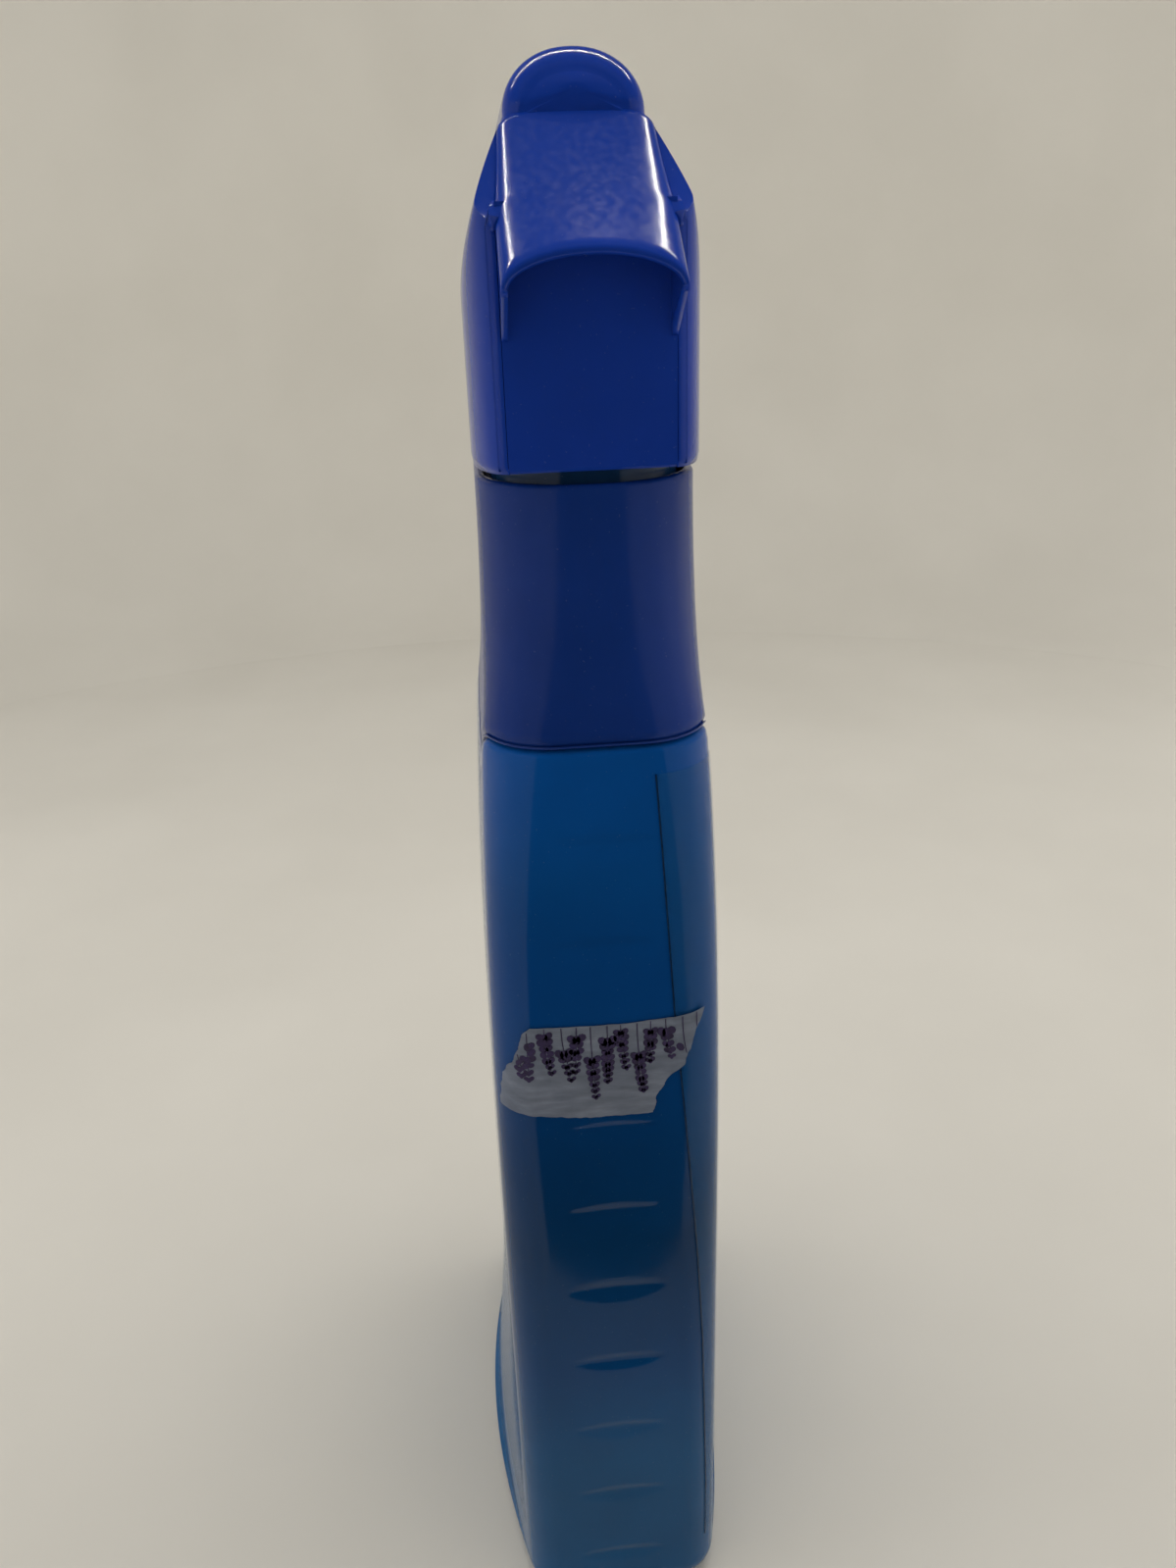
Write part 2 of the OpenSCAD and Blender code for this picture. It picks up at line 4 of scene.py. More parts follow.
import bmesh
import bpy
from mathutils import Matrix, Vector, noise


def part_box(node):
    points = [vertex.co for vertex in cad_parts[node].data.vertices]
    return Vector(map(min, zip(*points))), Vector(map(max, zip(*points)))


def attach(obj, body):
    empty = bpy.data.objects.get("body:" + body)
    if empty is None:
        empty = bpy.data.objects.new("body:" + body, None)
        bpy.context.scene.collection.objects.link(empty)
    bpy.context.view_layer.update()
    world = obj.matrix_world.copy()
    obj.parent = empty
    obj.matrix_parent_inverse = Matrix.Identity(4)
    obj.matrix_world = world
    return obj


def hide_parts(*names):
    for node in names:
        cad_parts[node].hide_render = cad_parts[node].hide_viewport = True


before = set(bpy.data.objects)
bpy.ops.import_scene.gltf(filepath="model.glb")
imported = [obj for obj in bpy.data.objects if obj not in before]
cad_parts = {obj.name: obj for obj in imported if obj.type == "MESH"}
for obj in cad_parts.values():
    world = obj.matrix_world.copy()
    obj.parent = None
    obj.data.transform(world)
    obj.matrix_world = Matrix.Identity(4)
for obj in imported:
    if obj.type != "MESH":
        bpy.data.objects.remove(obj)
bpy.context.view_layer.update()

random.seed(11)
print("frame loaded")

# measures taken from the frame, in millimetres
mm = 0.001


def boxMm(node):
    low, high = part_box(node)
    return [c / mm for c in low], [c / mm for c in high]


bottleLow, bottleHigh = boxMm("bottle")
collarTop = boxMm("collar")[1][2]
coverLow, coverHigh = boxMm("rear_cover")
shroudHigh = boxMm("shroud")[1]
tubeLow, tubeHigh = boxMm("dip_tube")
capLow, capHigh = boxMm("nozzle_cap")
pistonLow, pistonHigh = boxMm("piston")
closureTop = boxMm("closure")[1][2]
tapeLow, tapeHigh = boxMm("tape_strip")
spinnerFront = boxMm("spinner")[1][0]

backX = bottleLow[0]
frontX = bottleHigh[0]
mouthZ = bottleHigh[2]
neckX = (tubeLow[0] + tubeHigh[0]) / 2
headZ = coverLow[2]
topZ = shroudHigh[2]
lipX = coverLow[0]
barrelZ = (capLow[2] + capHigh[2]) / 2
cylinderZ = (pistonLow[2] + pistonHigh[2]) / 2
pivotX = neckX + 36
pivotZ = barrelZ - 9.8


def lerp(a, b, t):
    return a + (b - a) * t


def clamp01(t):
    return min(1.0, max(0.0, t))


def smooth(t):
    t = clamp01(t)
    return t * t * (3 - 2 * t)


def lookup(x, table):
    table = sorted(table)
    if x <= table[0][0]:
        return table[0][1]
    for (a, fa), (b, fb) in zip(table, table[1:]):
        if x <= b:
            return lerp(fa, fb, (x - a) / (b - a))
    return table[-1][1]


def bezier(a, b, c, t):
    return tuple((1 - t) ** 2 * p + 2 * t * (1 - t) * q + t * t * r for p, q, r in zip(a, b, c))


# materials, all of them made from nodes
def newMaterial(name):
    material = bpy.data.materials.new(name)
    material.use_nodes = True
    tree = material.node_tree
    coords = tree.nodes.new("ShaderNodeTexCoord")
    return material, tree, tree.nodes["Principled BSDF"], coords.outputs["Object"]


def noiseNode(tree, coords, scale, detail=3.0, stretch=None):
    if stretch:
        mapping = tree.nodes.new("ShaderNodeMapping")
        mapping.inputs["Scale"].default_value = stretch
        tree.links.new(coords, mapping.inputs["Vector"])
        coords = mapping.outputs["Vector"]
    texture = tree.nodes.new("ShaderNodeTexNoise")
    texture.inputs["Scale"].default_value = scale
    texture.inputs["Detail"].default_value = detail
    tree.links.new(coords, texture.inputs["Vector"])
    return texture.outputs["Fac"]


def rangeNode(tree, value, low, high, fromLow=0.3, fromHigh=0.7):
    node = tree.nodes.new("ShaderNodeMapRange")
    node.inputs["From Min"].default_value = fromLow
    node.inputs["From Max"].default_value = fromHigh
    node.inputs["To Min"].default_value = low
    node.inputs["To Max"].default_value = high
    tree.links.new(value, node.inputs["Value"])
    return node.outputs["Result"]


def rampNode(tree, value, stops):
    node = tree.nodes.new("ShaderNodeValToRGB")
    ramp = node.color_ramp
    while len(ramp.elements) < len(stops):
        ramp.elements.new(0.5)
    for element, (place, colour) in zip(ramp.elements, stops):
        element.position = place
        element.color = (*colour, 1)
    tree.links.new(value, node.inputs["Fac"])
    return node.outputs["Color"]


def mixColours(tree, factor, first, second, blend="MIX"):
    node = tree.nodes.new("ShaderNodeMix")
    node.data_type = "RGBA"
    node.blend_type = blend
    # sockets 0, 6 and 7 are the factor and the two colours of a colour mix
    for index, value in ((0, factor), (6, first), (7, second)):
        socket = node.inputs[index]
        if isinstance(value, bpy.types.NodeSocket):
            tree.links.new(value, socket)
        else:
            socket.default_value = value if isinstance(value, float) else (*value, 1)
    return node.outputs[2]


def addBump(tree, shader, heights):
    normal = None
    for height, strength, distance in heights:
        bump = tree.nodes.new("ShaderNodeBump")
        bump.inputs["Strength"].default_value = strength
        bump.inputs["Distance"].default_value = distance
        tree.links.new(height, bump.inputs["Height"])
        if normal:
            tree.links.new(normal, bump.inputs["Normal"])
        normal = bump.outputs["Normal"]
    tree.links.new(normal, shader.inputs["Normal"])


def setSockets(shader, values):
    for name, value in values.items():
        shader.inputs[name].default_value = value


def paint(tree, shader, colour, rough=None):
    tree.links.new(colour, shader.inputs["Base Color"])
    if rough:
        tree.links.new(rough, shader.inputs["Roughness"])


def mouldedPlastic(name, dark, light, rough, gloss=0.5, waves=0.1, translucence=0.0):
    material, tree, shader, coords = newMaterial(name)
    cloud = noiseNode(tree, coords, 28, 4)
    fine = noiseNode(tree, coords, 900, 2)
    broad = noiseNode(tree, coords, 55, 1)
    specks = noiseNode(tree, coords, 2600, 0)
    base = rampNode(tree, cloud, [(0.35, dark), (0.65, light)])
    dust = rangeNode(tree, specks, 0.0, 0.1, 0.8, 0.86)
    dusty = mixColours(tree, dust, base, (0.3, 0.33, 0.4))
    paint(tree, shader, dusty, rangeNode(tree, fine, rough * 0.8, rough * 1.25))
    addBump(tree, shader, [(broad, waves, 0.0004), (fine, 0.05, 0.0001)])
    setSockets(shader, {"IOR": 1.49, "Specular IOR Level": gloss,
                        "Subsurface Weight": translucence, "Subsurface Scale": 0.002})
    return material


tonesAndShading = {
    "headDark": (0.006, 0.038, 0.32),
    "headLight": (0.008, 0.045, 0.38),
    # the collar is the head's blue, darkened as painted shade
    "collarShadedDark": (0.0035, 0.027, 0.185),
    "collarShadedLight": (0.005, 0.034, 0.23),
    # the bottle's blue by height: darker at mid-height and lighter near the top and the foot, painted shade and light
    # over its own tone
    "bottle": [
        (0.0, (0.0016, 0.082, 0.24)), (0.175, (0.0015, 0.075, 0.222)), (0.29, (0.0012, 0.0486, 0.174)),
        (0.43, (0.001, 0.035, 0.122)), (0.53, (0.001, 0.041, 0.158)), (0.685, (0.0012, 0.057, 0.249)),
        (0.763, (0.0013, 0.067, 0.281)), (0.838, (0.0014, 0.072, 0.325)),
    ],
}
headPlastic = mouldedPlastic("headPlastic", tonesAndShading["headDark"], tonesAndShading["headLight"], 0.12, 0.3, 0.12)
# the collar's plastic: the head's blue darkened as painted shade
shadedCollarPlastic = mouldedPlastic("shadedCollarPlastic", tonesAndShading["collarShadedDark"], tonesAndShading["collarShadedLight"], 0.2, 0.2, 0.12)
# dark teal: a clear plastic darkened as painted shade of the recess under the head
shadedClearPlastic = mouldedPlastic("shadedClearPlastic", (0.035, 0.06, 0.075), (0.05, 0.085, 0.1), 0.16)
tubePlastic = mouldedPlastic("tubePlastic", (0.5, 0.54, 0.55), (0.6, 0.64, 0.65), 0.25, translucence=0.2)
# the skirt is the head's blue made much darker, as painted shade in the gap under the head
shadedSkirtPlastic = mouldedPlastic("shadedSkirtPlastic", (0.003, 0.03, 0.1), (0.006, 0.045, 0.14), 0.12, 0.35)
pistonPlastic = mouldedPlastic("pistonPlastic", (0.03, 0.07, 0.24), (0.04, 0.09, 0.3), 0.3)


def bottleMaterial():
    material, tree, shader, coords = newMaterial("bottlePlastic")
    split = tree.nodes.new("ShaderNodeSeparateXYZ")
    tree.links.new(coords, split.inputs["Vector"])
    height = rangeNode(tree, split.outputs["Z"], 0.0, 1.0, 0.0, mouthZ * mm)
    # painted shade and light: the blue darkens at mid-height and lightens near the top and the foot
    tone = rampNode(tree, height, tonesAndShading["bottle"])
    cloud = noiseNode(tree, coords, 22, 3)
    shade = rangeNode(tree, cloud, 0.86, 1.1)
    grey = tree.nodes.new("ShaderNodeCombineColor")
    for channel in grey.inputs:
        tree.links.new(shade, channel)
    base = mixColours(tree, 1.0, tone, grey.outputs["Color"], "MULTIPLY")
    fine = noiseNode(tree, coords, 1500, 2)
    broad = noiseNode(tree, coords, 34, 2, (1, 1, 0.45))
    specks = noiseNode(tree, coords, 2100, 0)
    dust = rangeNode(tree, specks, 0.0, 0.1, 0.79, 0.86)
    paint(tree, shader, mixColours(tree, dust, base, (0.25, 0.32, 0.4)), rangeNode(tree, fine, 0.09, 0.14))
    addBump(tree, shader, [(broad, 0.2, 0.0004)])
    setSockets(shader, {"IOR": 1.5, "Specular IOR Level": 0.2})
    return material


def filmMaterial():
    material, tree, shader, coords = newMaterial("labelFilm")
    cloud = noiseNode(tree, coords, 40, 3)
    tint = rampNode(tree, cloud, [(0.35, (0.02, 0.13, 0.32)), (0.7, (0.04, 0.17, 0.38))])
    fine = noiseNode(tree, coords, 700, 2)
    wrinkle = noiseNode(tree, coords, 60, 2, (1, 1, 0.3))
    paint(tree, shader, tint, rangeNode(tree, fine, 0.1, 0.16))
    addBump(tree, shader, [(wrinkle, 0.15, 0.0003)])
    setSockets(shader, {"Alpha": 0.1, "Specular IOR Level": 0.3, "IOR": 1.5})
    return material


def paperMaterial():
    material, tree, shader, coords = newMaterial("tapePaper")
    fibres = noiseNode(tree, coords, 420, 5, (1, 0.35, 1.6))
    cloud = noiseNode(tree, coords, 120, 3)
    tones = [(0.3, (0.12, 0.145, 0.205)), (0.55, (0.17, 0.2, 0.275)), (0.75, (0.23, 0.265, 0.35))]
    paper = rampNode(tree, fibres, tones)
    shade = rampNode(tree, cloud, [(0.3, (0.80, 0.82, 0.86)), (0.7, (1.0, 1.0, 1.0))])
    paint(tree, shader, mixColours(tree, 1.0, paper, shade, "MULTIPLY"), rangeNode(tree, fibres, 0.55, 0.8))
    addBump(tree, shader, [(fibres, 0.25, 0.0001), (cloud, 0.1, 0.0001)])
    return material


def foamMaterial():
    material, tree, shader, coords = newMaterial("gasketFoam")
    cells = tree.nodes.new("ShaderNodeTexVoronoi")
    cells.inputs["Scale"].default_value = 2500
    tree.links.new(coords, cells.inputs["Vector"])
    depth = cells.outputs["Distance"]
    paint(tree, shader, rampNode(tree, depth, [(0.0, (0.55, 0.55, 0.52)), (0.5, (0.82, 0.82, 0.78))]))
    setSockets(shader, {"Roughness": 0.85})
    addBump(tree, shader, [(depth, 0.5, 0.0001)])
    return material


def tonedMaterial(name, tones, cloudForm, rough=None, fineForm=None, bump=None, values=None):
    material, tree, shader, coords = newMaterial(name)
    cloud = noiseNode(tree, coords, *cloudForm)
    fine = noiseNode(tree, coords, *fineForm) if fineForm else cloud
    paint(tree, shader, rampNode(tree, cloud, tones), rangeNode(tree, fine, *rough) if rough else None)
    if bump:
        addBump(tree, shader, [(fine, *bump)])
    setSockets(shader, values or {})
    return material


def plainMaterial(name, values):
    material, _, shader, _ = newMaterial(name)
    setSockets(shader, values)
    return material


bottlePlastic = bottleMaterial()
labelFilm = filmMaterial()
filmEdge = tonedMaterial("filmEdge", [(0.3, (0.001, 0.02, 0.07)), (0.7, (0.002, 0.028, 0.09))], (300, 2),
                         values={"Roughness": 0.3, "Alpha": 0.6})
tapePaper = paperMaterial()
sprigInk = tonedMaterial("sprigInk", [(0.3, (0.016, 0.008, 0.05)), (0.7, (0.036, 0.02, 0.1))], (900, 3), (0.55, 0.75))
springSteel = tonedMaterial("springSteel", [(0.3, (0.45, 0.46, 0.48)), (0.7, (0.62, 0.63, 0.65))],
                            (1200, 3, (0.2, 1, 1)), (0.2, 0.4), bump=(0.2, 0.00005), values={"Metallic": 1.0})
gasketFoam = foamMaterial()

innerFinish = {
    "closure": shadedClearPlastic, "neck_gasket": gasketFoam, "tube_retainer": shadedClearPlastic,
    "dip_tube": tubePlastic, "inlet_ball": springSteel, "pump_body": shadedClearPlastic, "piston": pistonPlastic,
    "return_spring": springSteel, "outlet_valve": shadedClearPlastic, "outlet_spring": springSteel,
    "spinner": shadedClearPlastic,
}
for nodeName, material in innerFinish.items():
    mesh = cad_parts[nodeName].data
    mesh.materials.clear()
    mesh.materials.append(material)
print("materials made")


# building blocks for the meshes
def quarterTurn(steps):
    angles = [math.pi / 2 * i / steps for i in range(steps + 1)]
    return [(math.sin(a), math.cos(a)) for a in angles]


def curveAt(curve, known, value):
    # the other coordinate of a curve where this one, the rising one, has the value
    low, high = 0.0, 1.0
    for _ in range(24):
        t = (low + high) / 2
        if bezier(*curve, t)[known] < value:
            low = t
        else:
            high = t
    return bezier(*curve, low)[1 - known]


def flatten(rings):
    return [p for r in rings for p in r]


def makePiece(name, points, faces, material, body, replaces=(), sharp=40, wall=0.0):
    mesh = bpy.data.meshes.new(name)
    mesh.from_pydata([tuple(c * mm for c in p) for p in points], [], faces)
    mesh.validate()
    weld = bmesh.new()
    weld.from_mesh(mesh)
    bmesh.ops.remove_doubles(weld, verts=weld.verts, dist=0.012 * mm)
    bmesh.ops.dissolve_degenerate(weld, dist=0.004 * mm, edges=weld.edges)
    bmesh.ops.recalc_face_normals(weld, faces=weld.faces)
    middle = sum((v.co for v in weld.verts), Vector()) / len(weld.verts)
    outward = sum((f.calc_center_median() - middle).dot(f.normal) * f.calc_area() for f in weld.faces)
    if outward < 0:
        bmesh.ops.reverse_faces(weld, faces=weld.faces)
    weld.to_mesh(mesh)
    weld.free()
    mesh.materials.append(material)
    mesh.polygons.foreach_set("use_smooth", [True] * len(mesh.polygons))
    mesh.set_sharp_from_angle(angle=math.radians(sharp))
    piece = bpy.data.objects.new(name, mesh)
    bpy.context.scene.collection.objects.link(piece)
    if wall:
        thick = piece.modifiers.new("wall", "SOLIDIFY")
        thick.thickness = wall * mm
        thick.offset = -1
    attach(piece, body)
    if replaces:
        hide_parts(*replaces)
    return piece


def loftFaces(count, rings, start=0, closed=False, caps=True):
    faces = []
    last = rings if closed else rings - 1
    for j in range(last):
        a, b = start + j * count, start + ((j + 1) % rings) * count
        for i in range(count):
            k = (i + 1) % count
            faces.append((a + i, a + k, b + k, b + i))
    if caps and not closed:
        faces.append(tuple(start + i for i in range(count - 1, -1, -1)))
        faces.append(tuple(start + (rings - 1) * count + i for i in range(count)))
    return faces


def gridFaces(columns, rows, start=0):
    corners = (0, 1, columns + 1, columns)
    return [tuple(start + j * columns + i + c for c in corners) for j in range(rows - 1) for i in range(columns - 1)]


def slabFaces(columns, rows):
    # two grids, one behind the other, closed round their border
    size = columns * rows
    faces = []
    for quad in gridFaces(columns, rows):
        faces += [quad, tuple(q + size for q in reversed(quad))]
    border = list(range(columns)) + [j * columns + columns - 1 for j in range(1, rows)]
    border += [(rows - 1) * columns + i for i in range(columns - 2, -1, -1)]
    border += [j * columns for j in range(rows - 2, 0, -1)]
    return faces + [(b, a, a + size, b + size) for a, b in zip(border, border[1:] + border[:1])]


# the bottle takes the same sections as the frame's, in much finer steps
bottleForm = {
    "length": frontX - backX, "baseWidth": 56, "bodyWidth": 44, "flareHeight": 75, "endWidth": 43,
    "cornerRadius": 8, "bellyHeight": 95, "wall": 1.2, "heelRadius": 6, "pushUp": 4,
    "footWidth": 38.5, "footLength": 62, "footRadius": 12, "edge": 1.4,
    "collarWidth": 35, "collarLength": 50, "collarHeight": 42, "dip": 14,
    "endSteps": 24, "cornerSteps": 10, "sideSteps": 18, "levelStep": 0.75,
}
neckForm = {"root": 12.8, "radius": 12.4, "bead": 13.7, "bore": 10.8, "beadDrops": (10, 5)}
shoulderZ = collarTop - bottleForm["collarHeight"]
quarterSteps = bottleForm["endSteps"] + bottleForm["cornerSteps"] + bottleForm["sideSteps"]
ringSteps = 4 * quarterSteps


def quarter(s):
    form = bottleForm
    r = s[3]
    h, e, bulge = s[0] / 2 - r, s[1] / 2 - r, (s[2] - s[1]) / 2
    lean = math.atan(2 * bulge / h)
    points = [(s[0] / 2, e * i / form["endSteps"]) for i in range(form["endSteps"])]
    for i in range(form["cornerSteps"]):
        a = (math.pi / 2 - lean) * i / form["cornerSteps"]
        points.append((h + r * math.cos(a), e + r * math.sin(a)))
    for i in range(form["sideSteps"] + 1):
        x = h * (1 - i / form["sideSteps"])
        a = math.atan(2 * bulge * x / (h * h))
        points.append((x + r * math.sin(a), e + bulge * (1 - (x / h) ** 2) + r * math.cos(a)))
    return points


def ring(s):
    q = quarter(s)
    points = []
    for i in range(ringSteps):
        side, k = divmod(i, quarterSteps)
        x, y = q[k] if side % 2 == 0 else q[quarterSteps - k]
        points.append((-x if side in (1, 2) else x, -y if side >= 2 else y))
    return points


def bottleSection(z, t=0.0):
    form = bottleForm
    u = clamp01((z - form["bellyHeight"]) / (shoulderZ - form["bellyHeight"]))
    v = u ** 3
    flare = (form["baseWidth"] - form["bodyWidth"]) * clamp01(1 - z / form["flareHeight"]) ** 2
    w = lerp(form["endWidth"], form["footWidth"], v)
    return (lerp(form["length"], form["footLength"], u ** 2.2) - 2 * t, w - 2 * t,
            lerp(form["bodyWidth"], form["footWidth"] + 1, v) + flare - 2 * t,
            max(lerp(form["cornerRadius"], form["footRadius"], v) - t, 1))


def collarSection(z, t=0.0):
    form = bottleForm
    u = clamp01((z - shoulderZ) / form["collarHeight"])
    s = (1 - u) ** 2.5
    w = lerp(form["collarWidth"], form["footWidth"], s)
    return (lerp(form["collarLength"], form["footLength"], s) - 2 * t, w - 2 * t, w + s - 2 * t,
            min(lerp(form["collarWidth"] / 2 - 0.8, form["footRadius"], s) - t, w / 2 - t - 0.6))


def seamDip(z, x, s):
    u = abs(2 * x / s[0])
    depth = bottleForm["dip"] * max(0, 1 - u / 0.75) ** 1.3
    below = smooth((z - shoulderZ + 45) / 45)
    above = smooth(1 - (z - shoulderZ) / 30)
    return depth * (below if z < shoulderZ else above)


def levelRing(z, s, t=0.0):
    return [(backX + s[0] / 2 + t + x, y, z - seamDip(z, x, s)) for x, y in ring(s)]


def roundRing(model, r, z):
    points = []
    for x, y, _ in model:
        a = math.atan2(y, x - neckX)
        points.append((neckX + r * math.cos(a), r * math.sin(a), z))
    return points


gripRibs = {"count": 10, "top": shoulderZ - 15.1, "pitch": 19.7, "height": 5.6, "halfWidth": 9.8, "depth": 0.42}


def ribDepth(y, z):
    g = gripRibs
    depth = 0.0
    for k in range(g["count"]):
        top = g["top"] - k * g["pitch"]
        if not top - g["height"] - 1 < z < top + 2:
            continue
        u = abs(y) / g["halfWidth"]
        if u >= 1:
            continue
        arch = 1 - u * u
        high, low = top - 1.6 + 1.6 * arch, top - 1.9 - (g["height"] - 1.9) * arch ** 0.8
        if low < z < high:
            t = (high - z) / (high - low)
            shape = smooth(t / 0.3) if t < 0.3 else 1 - smooth((t - 0.3) / 0.7)
            depth = g["depth"] * shape * arch ** 0.7
    return depth


def bottlePiece():
    form, neck = bottleForm, neckForm
    heel, wall, edge = form["heelRadius"], form["wall"], form["edge"]
    rings = []

    def heelRing(z, t):
        return [(backX + form["length"] / 2 + x, y, z) for x, y in ring(bottleSection(0, t))]

    def insetRing(z, section, t):
        return levelRing(z, section(z, t), t)

    def deepRing(z, t):
        # a level ring whose own height is flattened to z
        return [(x, y, z) for x, y, _ in insetRing(shoulderZ + 11, collarSection, t)]

    for inset, z in ((22, form["pushUp"]), (16, form["pushUp"] - 0.2), (12.5, 2.2), (10.5, 0.5), (8.5, 0.0)):
        rings.append(heelRing(z, inset))
    for s, c in quarterTurn(8):
        rings.append(heelRing(heel * (1 - c), heel * (1 - s)))
    z = heel + 0.8
    while z < shoulderZ - edge - 0.4:
        rings.append([(x + (ribDepth(y, z) if x < backX + 1 and abs(y) < 10 else 0), y, h)
                      for x, y, h in levelRing(z, bottleSection(z))])
        z += form["levelStep"]
    for s, c in quarterTurn(6):
        t = edge * (1 - c)
        rings.append(levelRing(shoulderZ - edge + edge * s, bottleSection(shoulderZ, t), t))
    rings.append(insetRing(shoulderZ, collarSection, 1.9))
    rings.append(insetRing(shoulderZ + 3, collarSection, 2.0))
    high = deepRing(shoulderZ + 8, 3.4)
    rings.append(high)
    root = roundRing(high, neck["root"], shoulderZ + 14)
    for t in (0.25, 0.5, 0.75):
        rings.append([(lerp(p[0], q[0], t), lerp(p[1], q[1], t), lerp(p[2], q[2], math.sqrt(t)))
                      for p, q in zip(high, root)])
    rings.append(root)
    rings.append(roundRing(high, neck["radius"], shoulderZ + 15.5))
    for drop in neck["beadDrops"]:
        for dz, swell in ((-1.3, 0), (-0.5, 1), (0, 2), (0.5, 1), (1.3, 0)):
            r = (neck["radius"], neck["bead"] - 0.1, neck["bead"])[swell]
            rings.append(roundRing(high, r, mouthZ - drop + dz))
    for dz, r in ((-0.3, neck["radius"]), (0, 12.1), (0, 11.1), (-0.3, neck["bore"])):
        rings.append(roundRing(high, r, mouthZ + dz))
    rings.append(roundRing(high, neck["bore"], shoulderZ + 13.5))
    rings.append(deepRing(shoulderZ + 6.8, 4.7))
    rings.append(levelRing(shoulderZ - 3, bottleSection(shoulderZ, 3.2), 3.2))
    z = shoulderZ - 8
    while z > 14:
        rings.append(insetRing(z, bottleSection, wall + 0.9))
        z -= 8
    rings.append(heelRing(form["pushUp"] + wall + 2.5, wall + 2.4))
    rings.append(heelRing(form["pushUp"] + wall, wall + heel))
    faces = loftFaces(ringSteps, len(rings))
    return makePiece("bottleShell", flatten(rings), faces, bottlePlastic, "bottle", ["bottle"], 50)


bottleShell = bottlePiece()
print("bottle made", len(bottleShell.data.polygons))


def collarPiece():
    wall, rim, hole = 1.5, 0.7, 9.0
    low, high = shoulderZ + 0.15, collarTop
    deck = closureTop + 1.6

    def rimRing(z, t):
        return levelRing(z, collarSection(z, t), t)

    rings = [rimRing(low + rim * (1 - s), rim * (1 - c)) for s, c in quarterTurn(4)]
    count = 44
    rings += [rimRing(lerp(low + rim, high - rim, step / count), 0) for step in range(1, count)]
    rings += [rimRing(high - rim + rim * s, rim * (1 - c)) for s, c in quarterTurn(4)]
    rings += [rimRing(high, wall - 0.25), rimRing(high - 0.3, wall), rimRing(deck, wall)]
    model = rimRing(deck, wall)
    for r, z in ((hole, deck), (hole - 0.2, deck - 0.2), (hole - 0.2, deck - 1.6)):
        rings.append(roundRing(model, r, z))
    rings.append([(x, y, closureTop) for x, y, _ in rimRing(closureTop, wall)])
    rings += [rimRing(lerp(low + 0.3, closureTop - 0.5, step / 20), wall) for step in range(20, -1, -1)]
    rings.append(rimRing(low, wall - 0.3))
    faces = loftFaces(ringSteps, len(rings), closed=True)
    return makePiece("collarSkirt", flatten(rings), faces, shadedCollarPlastic, "sprayer", ["collar"], 50)


collarPiece()
print("collar made")


# the shroud with its cheeks and dome, and the rear cover with its ramp and lip
headForm = {
    "halfWidth": shroudHigh[1], "domeHalf": 10.25, "coverHalf": coverHigh[1] + 0.02, "gap": 0.06,
    "cheekRise": 24, "cheekReach": 17, "domeDrop": 9, "stepBack": 22, "stepDrop": 8.5, "lipRise": 30,
    "stepHalf": 11.3, "lipDrop": 12, "noseHalf": 10.5, "shroudFront": 44, "wall": 1.4, "coverWall": 0.9,
    "rimRadius": 3.2, "noseRadius": 2.2, "barrelHole": 5.95, "domeLean": 0.28,
}
stepX = lipX + headForm["stepBack"]
stepZ = topZ - headForm["stepDrop"]
lipZ = headZ + headForm["lipRise"]
noseX = neckX + headForm["shroudFront"]
cheekZ = headZ + headForm["cheekRise"]
domeZ = topZ - headForm["domeDrop"]
rampEnds = ((lipX, lipZ), (lipX + 12, lerp(lipZ, stepZ, 0.48)), (stepX, stepZ))
rampLine = [bezier(*rampEnds, i / 40) for i in range(41)]
lipEdge = [(lipX, lipZ - 2), (lipX + 1, lipZ - 5.5), (backX, lipZ - headForm["lipDrop"])]


def rampTop(x):
    return lookup(x, rampLine)


def coverDrop(x):
    return lookup(x, [(lipX, 5.0), (stepX, 2.9)])


def coverSide(x):
    return lookup(x, [(backX, headForm["coverHalf"]), (stepX, headForm["stepHalf"])])


def rearHalf(z):
    f = headForm
    if z <= cheekZ:
        return f["halfWidth"]
    curve = (f["halfWidth"], cheekZ), (f["halfWidth"] - 1, cheekZ + 10.5), (f["domeHalf"], domeZ)
    return curveAt(curve, 1, z)


def planHalf(x):
    f = headForm
    reach, start = backX + f["cheekReach"], neckX + 16
    edge = f["coverHalf"] + f["gap"]
    if x < reach:
        return edge + (f["halfWidth"] - edge) * math.sqrt(max(0, 1 - ((reach - x) / f["cheekReach"]) ** 2))
    if x <= start:
        return f["halfWidth"]
    curve = (start, f["halfWidth"]), (neckX + 34, f["halfWidth"]), (noseX + 1, f["noseHalf"])
    return curveAt(curve, 0, x)


def wallHalf(x, z):
    # the lesser of the two widths, with the crease between them rounded
    a, b = planHalf(x), rearHalf(z)
    return 0.5 * (a + b - math.sqrt((a - b) ** 2 + 0.25)) + 0.02


def lowerEdge(x):
    return lookup(x, [(neckX + 22, headZ), (noseX, cylinderZ + 8)])


def domeTop(x):
    return lookup(x, [(stepX, topZ - 0.5), (stepX + 5, topZ), (neckX + 4, topZ),
                      (noseX - 3, topZ - 2.5), (noseX, topZ - 3.4)])


